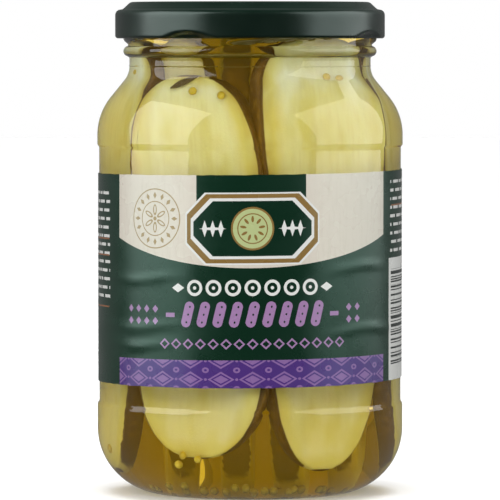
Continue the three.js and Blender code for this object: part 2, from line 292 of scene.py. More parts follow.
class MaterialNodes:
    """A material's node tree, built up by small steps."""

    def __init__(self, name: str) -> None:
        """Makes an empty material of that name.

        Args:
            name: The material's name.
        """
        self.material = bpy.data.materials.new(name)
        self.material.use_nodes = True
        self.tree = self.material.node_tree
        self.tree.nodes.clear()

    def add(self, kind: str, **settings: object) -> bpy.types.Node:
        """Adds a node of a kind and sets its properties.

        Args:
            kind: The node's type.
            **settings: Values for the node's own properties.

        Returns:
            The new node.
        """
        node = self.tree.nodes.new(kind)
        for key, value in settings.items():
            setattr(node, key, value)
        return node

    def feed(self, socket: Socket, value: object) -> None:
        """Links a socket to another one, or sets its value.

        Args:
            socket: The input to fill.
            value: A socket to link, or a plain value.
        """
        if isinstance(value, bpy.types.NodeSocket):
            self.tree.links.new(value, socket)
        elif socket.type == "RGBA" and isinstance(value, tuple) and len(value) == 3:
            socket.default_value = (*value, 1)
        else:
            socket.default_value = value

    def math(self, operation: str, *values: Value, clamp: bool = False) -> Socket:
        """Adds a Math node and gives its result.

        Args:
            operation: The node's operation.
            *values: Its inputs, in order.
            clamp: Whether the result is kept between 0 and 1.

        Returns:
            The result.
        """
        node = self.add("ShaderNodeMath", operation=operation, use_clamp=clamp)
        for socket, value in zip(node.inputs, values):
            self.feed(socket, value)
        return node.outputs[0]

    def object_place(self) -> Socket:
        """Gives the Object coordinates."""
        return self.add("ShaderNodeTexCoord").outputs["Object"]

    def attribute(self, name: str) -> bpy.types.Node:
        """Adds a node that reads one of the mesh's attributes."""
        return self.add("ShaderNodeAttribute", attribute_name=name)

    def stretched(self, vector: Socket, scale: Place) -> Socket:
        """Scales a pattern's coordinates along each axis.

        Args:
            vector: The coordinates.
            scale: The factor along each axis.

        Returns:
            The scaled coordinates.
        """
        node = self.add("ShaderNodeMapping")
        self.feed(node.inputs["Vector"], vector)
        node.inputs["Scale"].default_value = scale
        return node.outputs[0]

    def noise(self, vector: Socket, scale: float, detail: float = 2, rough: float = 0.5) -> Socket:
        """Adds a noise pattern and gives its value.

        Args:
            vector: The coordinates that the pattern follows.
            scale: How many waves it has to a unit.
            detail: How many finer octaves it has.
            rough: How strong the finer octaves are.

        Returns:
            The pattern's value, about 0.5 in the middle.
        """
        node = self.add("ShaderNodeTexNoise")
        self.feed(node.inputs["Vector"], vector)
        node.inputs["Scale"].default_value = scale
        node.inputs["Detail"].default_value = detail
        node.inputs["Roughness"].default_value = rough
        return node.outputs["Fac"]

    def ramp(self, value: Socket, *stops: tuple[float, Colour]) -> Socket:
        """Turns a value into a colour by stops of position and colour.

        Args:
            value: The value, from 0 to 1.
            *stops: Each stop's position and colour.

        Returns:
            The colour.
        """
        node = self.add("ShaderNodeValToRGB")
        self.feed(node.inputs["Fac"], value)
        elements = node.color_ramp.elements
        while len(elements) < len(stops):
            elements.new(1)
        for element, (position, colour) in zip(elements, stops):
            element.position = position
            element.color = (*colour, 1)
        return node.outputs["Color"]

    def span(self, value: Socket, low: float, high: float, start: float, end: float) -> Socket:
        """Maps a value smoothly from one range to another.

        Args:
            value: The value.
            low: Where its range starts.
            high: Where its range ends.
            start: What the result is up to `low`.
            end: What the result is from `high` on.

        Returns:
            The mapped value.
        """
        node = self.add("ShaderNodeMapRange", interpolation_type="SMOOTHSTEP")
        for socket, given in zip(node.inputs, (value, low, high, start, end)):
            self.feed(socket, given)
        return node.outputs["Result"]

    def mix(self, factor: Value, first: Socket | Colour, second: Socket | Colour) -> Socket:
        """Mixes two colours and gives the result.

        Args:
            factor: The second colour's share.
            first: The first colour.
            second: The second colour.

        Returns:
            The mixed colour.
        """
        node = self.add("ShaderNodeMix", data_type="RGBA")
        self.feed(node.inputs["Factor"], factor)
        self.feed(node.inputs[6], first)
        self.feed(node.inputs[7], second)
        return node.outputs[2]

    def bump(self, height: Socket, depth: float, strength: float = 1.0) -> Socket:
        """Turns a height pattern into a normal. The depth is in millimetres.

        Args:
            height: The pattern.
            depth: How high its full range stands.
            strength: The share of the effect.

        Returns:
            The normal.
        """
        node = self.add("ShaderNodeBump")
        node.inputs["Strength"].default_value = strength
        node.inputs["Distance"].default_value = depth * MM
        self.feed(node.inputs["Height"], height)
        return node.outputs[0]

    def principled(self, **inputs: object) -> bpy.types.Node:
        """Adds a Principled shader. Underscores in the keys stand for spaces.

        Args:
            **inputs: Values or sockets for the shader's inputs.

        Returns:
            The shader's node.
        """
        node = self.add("ShaderNodeBsdfPrincipled")
        for key, value in inputs.items():
            self.feed(node.inputs[key.replace("_", " ")], value)
        return node

    def finish(self, surface: Socket, volume: Socket | None = None) -> bpy.types.Material:
        """Links the output and gives the finished material.

        Args:
            surface: The surface's shader.
            volume: The volume's shader, if it has one.

        Returns:
            The material.
        """
        output = self.add("ShaderNodeOutputMaterial")
        self.feed(output.inputs["Surface"], surface)
        if volume is not None:
            self.feed(output.inputs["Volume"], volume)
        return self.material

    def lit_through(self, shader: Socket) -> Socket:
        """Lets lamps shine straight through a clear shader.

        Args:
            shader: The clear shader.

        Returns:
            The shader, which casts no shadow.
        """
        clear = self.add("ShaderNodeBsdfTransparent")
        mixed = self.add("ShaderNodeMixShader")
        self.feed(mixed.inputs[0], self.add("ShaderNodeLightPath").outputs["Is Shadow Ray"])
        self.feed(mixed.inputs[1], shader)
        self.feed(mixed.inputs[2], clear.outputs[0])
        return mixed.outputs[0]


@dataclass(frozen=True)
class ClearGlass:
    """Clear glass, by the refraction from what is before the surface to the glass."""

    name: str
    refraction: float
    tint: Colour = (0.975, 0.985, 0.97)
    ripple_depth: float = 0.05

    def material(self) -> bpy.types.Material:
        """Makes the glass, with the faint ripples of a moulded surface.

        Returns:
            The finished material.
        """
        nodes = MaterialNodes(self.name)
        place = nodes.stretched(nodes.object_place(), (1, 1, 0.45))
        ripples = nodes.noise(place, 95, 1.5)
        shader = nodes.principled(
            Base_Color=self.tint,
            Roughness=0.015,
            IOR=self.refraction,
            Transmission_Weight=1.0,
            Normal=nodes.bump(ripples, self.ripple_depth),
        )
        return nodes.finish(nodes.lit_through(shader.outputs[0]))


@dataclass(frozen=True)
class GoldenBrine:
    """Pickling brine: it bends no light at the wetted glass, and swallows blue over its depth.

    It also gives off a faint golden glow of its own. This is painted light in place of light scattered in
    the brine, so that a deep gap shows golden light.
    """

    passed: Colour = (0.80, 0.70, 0.32)
    depth: float = 22.0
    # Painted glow: the colour and strength of the light that the brine gives off in place of scattered
    # light.
    cloud: Colour = (1.0, 0.66, 0.02)
    cloudiness: float = 4.2

    def material(self) -> bpy.types.Material:
        """Makes the brine. `passed` is the share of each colour left after `depth`.

        Returns:
            The finished material.
        """
        nodes = MaterialNodes("golden_brine")
        lost = [-math.log(share) / (self.depth * MM) for share in self.passed]
        most = max(lost)
        absorption = nodes.add("ShaderNodeVolumeAbsorption")
        absorption.inputs["Color"].default_value = (*[1 - level / most for level in lost], 1)
        absorption.inputs["Density"].default_value = most
        # Painted glow: the volume gives off golden light of its own, though the brine is no lamp.
        cloud = nodes.add("ShaderNodeEmission")
        cloud.inputs["Color"].default_value = (*self.cloud, 1)
        cloud.inputs["Strength"].default_value = self.cloudiness
        cloudy = nodes.add("ShaderNodeAddShader")
        nodes.feed(cloudy.inputs[0], absorption.outputs[0])
        nodes.feed(cloudy.inputs[1], cloud.outputs[0])
        shader = nodes.principled(
            Base_Color=(1.0, 1.0, 1.0), Roughness=0.0, IOR=1.001, Transmission_Weight=1.0
        )
        return nodes.finish(nodes.lit_through(shader.outputs[0]), cloudy.outputs[0])


@dataclass(frozen=True)
class PickledGherkin:
    """Pickled gherkin: pale flesh, a glassy seed bed, an ochre rim, partly painted shade, and a dark
    olive skin.
    """

    flesh: Colour = srgb(232, 234, 200)
    seed_bed: Colour = srgb(216, 214, 142)
    # The warm and rim colours are partly the flesh's own ochre rim and partly painted shade on edges
    # deeper in the brine.
    warm: Colour = srgb(212, 202, 118)
    rim: Colour = srgb(180, 158, 62)
    edge: Colour = srgb(92, 66, 18)
    skin: Colour = srgb(112, 80, 16)
    skin_spots: Colour = srgb(138, 104, 28)
    # Painted shade: a darker, yellower flesh low in the jar, with the heights and the share over which it
    # fades in.
    soaked: Colour = srgb(208, 190, 92)
    soaked_heights: Point = (14.0, 46.0)
    soaked_share: float = 0.6

    def material(self) -> bpy.types.Material:
        """Makes the flesh, by how far each point is from the gherkin's middle to its skin.

        Returns:
            The finished material.
        """
        nodes = MaterialNodes("pickled_gherkin")
        own_place = nodes.attribute("own_place").outputs["Vector"]
        rind = nodes.attribute("rind").outputs["Fac"]
        wander = nodes.noise(own_place, 0.16, 3, 0.6)
        shift = nodes.math("MULTIPLY", nodes.math("SUBTRACT", wander, 0.5), 0.16)
        depth = nodes.math("ADD", rind, shift)
        # Towards the skin the flesh turns warm and ochre: partly its own rim, partly painted shade where
        # the slice's edges stand deeper in the brine.
        flesh = nodes.ramp(
            depth,
            (0.0, self.seed_bed),
            (0.24, self.seed_bed),
            (0.44, self.flesh),
            (0.60, self.flesh),
            (0.82, self.warm),
            (0.97, self.rim),
        )
        blotches = nodes.noise(nodes.stretched(own_place, (0.13, 0.13, 0.075)), 1.0, 2, 0.5)
        blotched = nodes.mix(nodes.span(blotches, 0.42, 0.7, 0.0, 0.75), flesh, self.seed_bed)
        fibres = nodes.noise(nodes.stretched(own_place, (1.3, 1.3, 0.12)), 1.0, 3, 0.55)
        fibred = nodes.mix(nodes.span(fibres, 0.4, 0.8, 0.0, 0.12), blotched, self.rim)
        # Painted shade: the flesh turns darker and yellower low in the jar, fading out upwards.
        split = nodes.add("ShaderNodeSeparateXYZ")
        nodes.feed(split.inputs[0], nodes.object_place())
        low, high = self.soaked_heights
        soaking = nodes.span(split.outputs["Z"], low * MM, high * MM, self.soaked_share, 0.0)
        fibred = nodes.mix(soaking, fibred, self.soaked)
        mottling = nodes.noise(own_place, 0.45, 3, 0.6)
        skin = nodes.mix(nodes.span(mottling, 0.45, 0.7, 0, 1), self.skin, self.skin_spots)
        lined = nodes.mix(nodes.span(rind, 0.955, 0.972, 0, 1), fibred, self.edge)
        colour = nodes.mix(nodes.span(rind, 0.985, 1.0, 0, 1), lined, skin)
        grain = nodes.noise(own_place, 1.6, 3, 0.6)
        shader = nodes.principled(
            Base_Color=colour,
            Roughness=0.55,
            Specular_IOR_Level=0.12,
            Subsurface_Weight=0.35,
            Subsurface_Radius=(1.0, 0.8, 0.3),
            Subsurface_Scale=2.6 * MM,
            Normal=nodes.bump(grain, 0.12, 0.6),
        )
        return nodes.finish(shader.outputs[0])


@dataclass(frozen=True)
class PickledSkin:
    """The dark olive-brown skin of a pickled gherkin."""

    skin: Colour = srgb(112, 94, 52)
    mottle_shade: float = 0.6

    def material(self) -> bpy.types.Material:
        """Makes the skin.

        Returns:
            The finished material.
        """
        nodes = MaterialNodes("pickled_skin")
        mottling = nodes.noise(nodes.object_place(), 900, 3, 0.6)
        darker = tuple(level * self.mottle_shade for level in self.skin)
        colour = nodes.mix(nodes.span(mottling, 0.4, 0.65, 0, 1), self.skin, darker)
        shader = nodes.principled(Base_Color=colour, Roughness=0.6, Specular_IOR_Level=0.1)
        return nodes.finish(shader.outputs[0])


@dataclass(frozen=True)
class MustardSeedCoat:
    """The yellow-brown coat of pickled mustard seeds."""

    pale: Colour = srgb(214, 190, 66)
    dark: Colour = srgb(190, 160, 44)
    # Painted shade: the darker colour of the seeds on the jar's floor, and the heights over which it
    # fades out.
    soaked: Colour = srgb(164, 142, 38)
    soaked_below: Point = (7.0, 9.0)

    def material(self) -> bpy.types.Material:
        """Makes the coat, each seed of another shade, and those on the jar's floor darker by painted
        shade.

        Returns:
            The finished material.
        """
        nodes = MaterialNodes("mustard_seed_coat")
        place = nodes.object_place()
        shade = nodes.noise(place, 210, 1)
        fresh = nodes.mix(nodes.span(shade, 0.35, 0.65, 0, 1), self.pale, self.dark)
        # Painted shade: seeds low on the jar's floor are darkened.
        split = nodes.add("ShaderNodeSeparateXYZ")
        nodes.feed(split.inputs[0], place)
        low, high = self.soaked_below
        height = nodes.span(split.outputs["Z"], low * MM, high * MM, 0, 1)
        colour = nodes.mix(height, self.soaked, fresh)
        pores = nodes.noise(place, 2600, 2)
        shader = nodes.principled(
            Base_Color=colour,
            Roughness=0.5,
            Specular_IOR_Level=0.15,
            Subsurface_Weight=0.2,
            Subsurface_Radius=(1.0, 0.7, 0.3),
            Subsurface_Scale=0.8 * MM,
            Normal=nodes.bump(pores, 0.03, 0.5),
        )
        return nodes.finish(shader.outputs[0])


@dataclass(frozen=True)
class LidLacquer:
    """Very dark green satin lacquer on tinplate."""

    green: Colour = srgb(4, 23, 14)
    worn: Colour = srgb(7, 28, 19)

    def material(self) -> bpy.types.Material:
        """Makes the lacquer, with a faint orange peel and a slightly uneven shine.

        Returns:
            The finished material.
        """
        nodes = MaterialNodes("lid_lacquer")
        place = nodes.object_place()
        clouds = nodes.noise(place, 60, 3)
        colour = nodes.mix(nodes.span(clouds, 0.4, 0.8, 0, 1), self.green, self.worn)
        peel = nodes.noise(place, 900, 2)
        shader = nodes.principled(
            Base_Color=colour,
            Roughness=nodes.span(clouds, 0.3, 0.7, 0.26, 0.36),
            Specular_IOR_Level=0.85,
            Specular_Tint=(0.82, 1.0, 0.94),
            Normal=nodes.bump(peel, 0.012, 0.7),
        )
        return nodes.finish(shader.outputs[0])


@dataclass(frozen=True)
class Spot:
    """A pair of coordinates on the label, in millimetres from some point of its print."""

    across: Socket
    up: Socket


class LabelInk(MaterialNodes):
    """The label's print: fields of colour and simple shapes, laid over each other."""

    def __init__(self, name: str, sheet_size: float) -> None:
        """Starts a print on the label's own map.

        Args:
            name: The material's name.
            sheet_size: How many millimetres the map covers on each side.
        """
        super().__init__(name)
        chart = self.add("ShaderNodeUVMap", uv_map=PaperLabel.PRINT_MAP)
        sized = self.stretched(chart.outputs[0], (sheet_size, sheet_size, 1))
        split = self.add("ShaderNodeSeparateXYZ")
        self.feed(split.inputs[0], sized)
        middle = self.math("SUBTRACT", split.outputs[0], sheet_size / 2)
        self.sheet = Spot(middle, split.outputs[1])
        self.paper_place = sized
        self.colour: Socket | Colour = (0.0, 0.0, 0.0)

    def at(self, across: float, up: float, turn: float = 0.0, spot: Spot | None = None) -> Spot:
        """Moves the origin to a point, and turns the axes by degrees.

        Args:
            across: The point's place along the row.
            up: The point's height.
            turn: How far the axes turn.
            spot: What the point is counted from. Without it, that is the sheet's own origin.

        Returns:
            The coordinates from that point.
        """
        start = spot or self.sheet
        x = self.math("SUBTRACT", start.across, across)
        y = self.math("SUBTRACT", start.up, up)
        if not turn:
            return Spot(x, y)
        cosine, sine = math.cos(math.radians(turn)), math.sin(math.radians(turn))
        turned_x = self.math("MULTIPLY_ADD", x, cosine, self.math("MULTIPLY", y, sine))
        turned_y = self.math("MULTIPLY_ADD", y, cosine, self.math("MULTIPLY", x, -sine))
        return Spot(turned_x, turned_y)

    def repeated(self, spot: Spot, pitch: float, row_pitch: float | None = None) -> Spot:
        """Repeats what is drawn at a spot along the row, and from row to row if that is given.

        Args:
            spot: The first one's place.
            pitch: How far apart the copies are along the row.
            row_pitch: How far apart the rows are.

        Returns:
            The coordinates from the nearest copy's middle.
        """
        x = self.math("WRAP", spot.across, pitch / 2, -pitch / 2)
        if row_pitch is None:
            return Spot(x, spot.up)
        return Spot(x, self.math("WRAP", spot.up, row_pitch / 2, -row_pitch / 2))

    def around(self, spot: Spot, count: int) -> Spot:
        """Repeats what is drawn above a spot round it. `up` becomes the distance outwards.

        Args:
            spot: The middle.
            count: How many copies stand round it.

        Returns:
            The coordinates in the nearest copy's sector.
        """
        sector = math.tau / count
        direction = self.math("ARCTAN2", spot.across, spot.up)
        local = self.math("WRAP", direction, sector / 2, -sector / 2)
        distance = self.distance(spot)
        x = self.math("MULTIPLY", distance, self.math("SINE", local))
        return Spot(x, self.math("MULTIPLY", distance, self.math("COSINE", local)))

    def distance(self, spot: Spot) -> Socket:
        """Gives the distance from a spot."""
        squares = self.math("MULTIPLY", spot.across, spot.across)
        return self.math("SQRT", self.math("MULTIPLY_ADD", spot.up, spot.up, squares))

    def oblong(self, spot: Spot, width: float, height: float) -> Socket:
        """Gives a rectangle.

        Args:
            spot: Its middle.
            width: Its width.
            height: Its height.

        Returns:
            1 inside it, and 0 elsewhere.
        """
        x = self.math("LESS_THAN", self.math("ABSOLUTE", spot.across), width / 2)
        y = self.math("LESS_THAN", self.math("ABSOLUTE", spot.up), height / 2)
        return self.both(x, y)

    def cut_oblong(self, spot: Spot, width: float, height: float, cut: float) -> Socket:
        """Gives a rectangle whose corners are cut off.

        Args:
            spot: Its middle.
            width: Its width.
            height: Its height.
            cut: How much of each side a cut takes.

        Returns:
            1 inside it, and 0 elsewhere.
        """
        x = self.math("ABSOLUTE", spot.across)
        y = self.math("ABSOLUTE", spot.up)
        corner = self.math("LESS_THAN", self.math("ADD", x, y), (width + height) / 2 - cut)
        return self.both(self.oblong(spot, width, height), corner)

    def lozenge(self, spot: Spot, width: float, height: float) -> Socket:
        """Gives a lozenge that stands on its corner.

        Args:
            spot: Its middle.
            width: Its width.
            height: Its height.

        Returns:
            1 inside it, and 0 elsewhere.
        """
        x = self.math("MULTIPLY", self.math("ABSOLUTE", spot.across), 2 / width)
        y = self.math("MULTIPLY", self.math("ABSOLUTE", spot.up), 2 / height)
        return self.math("LESS_THAN", self.math("ADD", x, y), 1.0)

    def oval(self, spot: Spot, width: float, height: float) -> Socket:
        """Gives an ellipse.

        Args:
            spot: Its middle.
            width: Its width.
            height: Its height.

        Returns:
            1 inside it, and 0 elsewhere.
        """
        x = self.math("MULTIPLY", spot.across, 2 / width)
        y = self.math("MULTIPLY", spot.up, 2 / height)
        return self.math("LESS_THAN", self.distance(Spot(x, y)), 1.0)

    def ring(self, spot: Spot, radius: float, line: float) -> Socket:
        """Gives a circle's line."""
        off = self.math("ABSOLUTE", self.math("SUBTRACT", self.distance(spot), radius))
        return self.math("LESS_THAN", off, line / 2)

    def gherkin(self, spot: Spot, width: float, height: float) -> Socket:
        """Gives a bar with round ends.

        Args:
            spot: Its middle.
            width: Its width.
            height: Its height.

        Returns:
            1 inside it, and 0 elsewhere.
        """
        beyond = self.math("SUBTRACT", self.math("ABSOLUTE", spot.up), (height - width) / 2)
        end = self.math("MAXIMUM", beyond, 0.0)
        return self.math("LESS_THAN", self.distance(Spot(spot.across, end)), width / 2)

    def both(self, first: Socket, second: Socket) -> Socket:
        """Gives where two shapes overlap."""
        return self.math("MULTIPLY", first, second)

    def either(self, *shapes: Socket) -> Socket:
        """Gives all that some shapes cover.

        Args:
            *shapes: The shapes.

        Returns:
            1 inside any of them, and 0 elsewhere.
        """
        whole = shapes[0]
        for shape in shapes[1:]:
            whole = self.math("MAXIMUM", whole, shape)
        return whole

    def without(self, shape: Socket, hole: Socket) -> Socket:
        """Gives a shape with another one cut out."""
        return self.math("SUBTRACT", shape, hole, clamp=True)

    def paint(self, shape: Socket, colour: Socket | Colour) -> None:
        """Prints a shape in a colour over what is there."""
        self.colour = self.mix(shape, self.colour, colour)


@dataclass(frozen=True)
class LabelPrint:
    """The label's printed design. Places are millimetres from the front's middle and the foot."""

    green: Colour = srgb(9, 44, 27)
    cream: Colour = srgb(224, 215, 201)
    cream_shade: Colour = srgb(206, 196, 180)
    white: Colour = srgb(234, 234, 230)
    gold: Colour = srgb(142, 110, 56)
    line_gold: Colour = srgb(168, 142, 98)
    mauve: Colour = srgb(168, 128, 176)
    purple: Colour = srgb(80, 46, 126)
    pattern_mauve: Colour = srgb(142, 104, 164)
    black: Colour = srgb(40, 38, 38)
    orange: Colour = srgb(150, 92, 52)
    pale_green: Colour = srgb(190, 200, 140)

    sheet_size: float = 262.0
    height: float = 56.1
    front: Point = (-41.4, 42.9)
    middle: float = 0.7
    small_row: float = 2.3
    small_dash: Point = (4.6, 0.8)
    dash_pitch: float = 5.6
    gap_pitch: float = 8.9
    gap: float = 0.9
    bar_paces: tuple[float, ...] = (5.3, 3.1, 8.9)
    bar_share: float = 0.15

    def material(self) -> bpy.types.Material:
        """Makes the printed, varnished paper.

        Returns:
            The finished material.
        """
        ink = LabelInk("printed_paper", self.sheet_size)
        ink.colour = self.green
        self.print_front(ink)
        self.print_plaque(ink)
        self.print_rosette(ink)
        self.print_rows(ink)
        self.print_band(ink)
        self.print_sides(ink)
        fibre = ink.noise(ink.stretched(ink.paper_place, (1, 1, 1)), 2.2, 4, 0.7)
        wave = ink.noise(ink.paper_place, 0.12, 2)
        shader = ink.principled(
            Base_Color=ink.colour,
            Roughness=ink.span(wave, 0.3, 0.7, 0.24, 0.32),
            Specular_IOR_Level=0.9,
            Specular_Tint=(0.65, 1.0, 0.88),
            Normal=ink.bump(fibre, 0.02, 0.5),
        )
        return ink.finish(shader.outputs[0])

    def front_field(self, ink: LabelInk, foot: float, head: float) -> Socket:
        """Gives the front's full width between two heights.

        Args:
            ink: The print.
            foot: The lower height.
            head: The upper height.

        Returns:
            The field's shape.
        """
        left, right = self.front
        spot = ink.at((left + right) / 2, (foot + head) / 2)
        return ink.oblong(spot, right - left, head - foot)

    def print_front(self, ink: LabelInk) -> None:
        """Prints the cream field with its curved lower edge, and the green strip on it.

        Args:
            ink: The print.
        """
        streaks = ink.noise(ink.stretched(ink.paper_place, (0.9, 0.12, 1)), 1.0, 4, 0.65)
        blotches = ink.noise(ink.paper_place, 0.5, 3, 0.6)
        streaked = ink.span(streaks, 0.45, 0.8, 0, 0.5)
        blotched = ink.span(blotches, 0.5, 0.8, 0, 0.3)
        shade = ink.math("ADD", streaked, blotched)
        paper = ink.mix(shade, self.cream, self.cream_shade)
        curve = ink.oval(ink.at(self.middle, 151.1), 239, 239)
        ink.paint(ink.both(self.front_field(ink, 0, self.height + 1), curve), paper)
        ink.paint(ink.oblong(ink.at(0.35, 49.8), 29.5, 15.0), self.green)

    def print_plaque(self, ink: LabelInk) -> None:
        """Prints a plaque with cut corners that holds a cucumber slice between two sprigs.

        Args:
            ink: The print.
        """
        centre = ink.at(self.middle, 42.0)
        frames = ((36.4, self.white), (35.6, self.gold), (33.4, self.white), (31.9, self.green))
        for width, colour in frames:
            ink.paint(ink.cut_oblong(centre, width, width - 17.4, 5.4), colour)
        ink.paint(ink.oval(centre, 11.4, 11.4), self.gold)
        ink.paint(ink.oval(centre, 10.4, 10.4), self.pale_green)
        ink.paint(ink.ring(centre, 3.9, 0.3), self.gold)
        seeds = ink.around(centre, 9)
        ink.paint(ink.oval(ink.at(0, 2.5, spot=seeds), 0.7, 1.7), self.gold)
        for side in (-1, 1):
            sprig = ink.at(self.middle + side * 10.6, 42.0)
            stem = ink.lozenge(sprig, 7.6, 0.9)
            leaves = ink.repeated(ink.at(0, 0, spot=sprig), 2.2)
            pairs = ink.both(ink.lozenge(leaves, 1.5, 4.4), ink.oblong(sprig, 6.6, 5))
            ink.paint(ink.either(stem, pairs), self.white)

    def print_rosette(self, ink: LabelInk) -> None:
        """Prints a round rosette in gold hairlines on the cream field.

        Args:
            ink: The print.
        """
        centre = ink.at(-27.0, 44.6)
        rings = ink.either(ink.ring(centre, 7.8, 0.32), ink.ring(centre, 4.5, 0.26))
        beads = ink.lozenge(ink.at(0, 6.15, spot=ink.around(centre, 16)), 1.1, 1.9)
        petals = ink.oval(ink.at(0, 2.3, spot=ink.around(centre, 6)), 1.25, 2.9)
        hollows = ink.oval(ink.at(0, 2.4, spot=ink.around(centre, 6)), 0.6, 1.9)
        heart = ink.oval(centre, 1.1, 1.1)
        flower = ink.without(ink.either(petals, heart), hollows)
        ink.paint(ink.either(rings, beads, flower), self.line_gold)

    def print_rows(self, ink: LabelInk) -> None:
        """Prints the white row of slices, the mauve row of gherkins and the small marks.

        Args:
            ink: The print.
        """
        slices = ink.at(self.middle, 26.4)
        one = ink.repeated(slices, 5.2)
        rings = ink.either(ink.ring(one, 1.75, 0.78), ink.oval(one, 0.9, 0.9))
        ink.paint(ink.both(rings, ink.oblong(slices, 5.2 * 7, 6)), self.white)
        for side in (-1, 1):
            ink.paint(ink.lozenge(ink.at(self.middle + side * 20.4, 26.4), 3.6, 2.4), self.white)
        row = ink.at(self.middle, 19.4)
        tilted = ink.at(0, 0, -14, ink.repeated(row, 4.4))
        body = ink.gherkin(tilted, 2.7, 6.9)
        warts = ink.oval(ink.repeated(ink.at(0.15, 0, spot=tilted), 1.9, 2.1), 0.5, 0.6)
        gherkins = ink.both(ink.without(body, warts), ink.oblong(row, 4.4 * 9, 9))
        dashes = [ink.oblong(ink.at(self.middle + side * 22.8, 19.2), 2.7, 1.15) for side in (-1, 1)]
        ink.paint(ink.either(gherkins, *dashes), self.mauve)
        for side, count, middle in ((-1, 4, -31.4), (1, 2, 29.8)):
            for height in (20.7, 17.5):
                mark = ink.at(middle, height)
                small = ink.lozenge(ink.repeated(ink.at(1.5, 0, spot=mark), 3.0), 1.9, 2.1)
                ink.paint(ink.both(small, ink.oblong(mark, 3.0 * count, 3)), self.mauve)
        line = ink.at(self.middle, 11.6)
        pair = ink.repeated(line, 3.5)
        links = ink.without(ink.lozenge(pair, 3.1, 2.9), ink.lozenge(pair, 1.9, 1.7))
        ink.paint(ink.both(links, ink.oblong(line, 3.5 * 15, 4)), self.mauve)

    def print_band(self, ink: LabelInk) -> None:
        """Prints the purple band with its lattice of lozenges and dots.

        Args:
            ink: The print.
        """
        band = self.front_field(ink, -1, 7.35)
        ink.paint(band, self.purple)
        start = ink.at(self.middle, 2.3)
        big = ink.repeated(start, 8.4, 4.9)
        small = ink.repeated(ink.at(4.2, 2.45, spot=start), 8.4, 4.9)
        outline = ink.without(ink.lozenge(big, 7.2, 4.2), ink.lozenge(big, 5.6, 3.1))
        heart = ink.lozenge(big, 4.2, 2.2)
        bead = ink.without(ink.oval(small, 1.9, 1.5), ink.oval(small, 0.8, 0.6))
        between = ink.repeated(ink.at(4.2, 0, spot=start), 8.4, 4.9)
        dots = ink.oval(between, 0.8, 0.7)
        ink.paint(ink.both(ink.either(outline, heart, bead, dots), band), self.pattern_mauve)

    def print_sides(self, ink: LabelInk) -> None:
        """Prints the small rows beside the front and the white panel with its bars.

        Args:
            ink: The print.
        """
        panel = ink.at(60.2, 16.0)
        ink.paint(ink.oblong(panel, 28.0, 33.6), self.white)
        height = ink.sheet.up
        paces = [ink.math("MULTIPLY", height, pace) for pace in self.bar_paces]
        beats = [ink.math("SINE", pace) for pace in paces]
        sum_of_beats = ink.math("ADD", ink.math("ADD", beats[0], beats[1]), beats[2])
        bars = ink.math("GREATER_THAN", sum_of_beats, self.bar_share)
        ink.paint(ink.both(bars, ink.oblong(ink.at(59.6, 16.9), 24.0, 25.8)), self.black)
        blocks = (
            (60.2, 44.0, 26.0, 19.5),
            (-58.0, 37.2, 22.0, 31.0),
            (100.0, 27.5, 34.0, 49.0),
            (-99.0, 27.5, 40.0, 49.0),
        )
        for across, up, width, tall in blocks:
            block = ink.at(across, up)
            rows = ink.repeated(block, 1000.0, self.small_row)
            counted = ink.math("MULTIPLY_ADD", block.up, 1 / self.small_row, 0.5)
            row = ink.math("FLOOR", counted)
            start = ink.math("SINE", ink.math("MULTIPLY", row, 5.1))
            along = ink.math("MULTIPLY_ADD", start, 3.0, block.across)
            line = Spot(along, rows.up)
            dashes = ink.oblong(ink.repeated(line, self.dash_pitch), *self.small_dash)
            gaps = ink.oblong(ink.repeated(line, self.gap_pitch), self.gap, 2)
            marks = ink.without(dashes, gaps)
            ink.paint(ink.both(marks, ink.oblong(block, width, tall)), self.white)
        rules = ((-54.5, 38.8, 14.0), (-54.5, 34.4, 14.0), (-54.5, 20.6, 14.0), (58.0, 46.9, 20.0))
        for across, up, width in rules:
            ink.paint(ink.oblong(ink.at(across, up), width, 0.4), self.orange)


@dataclass(frozen=True)
class PaleFloor:
    """A plain pale studio floor."""

    pale: Colour = (0.88, 0.88, 0.88)
    cloud_shade: float = 0.985

    def material(self) -> bpy.types.Material:
        """Makes the floor's matt paint.

        Returns:
            The finished material.
        """
        nodes = MaterialNodes("pale_floor")
        clouds = nodes.noise(nodes.object_place(), 3, 2)
        near = tuple(level * self.cloud_shade for level in self.pale)
        colour = nodes.mix(clouds, self.pale, near)
        shader = nodes.principled(Base_Color=colour, Roughness=0.75, Specular_IOR_Level=0.2)
        return nodes.finish(shader.outputs[0])


# The jar


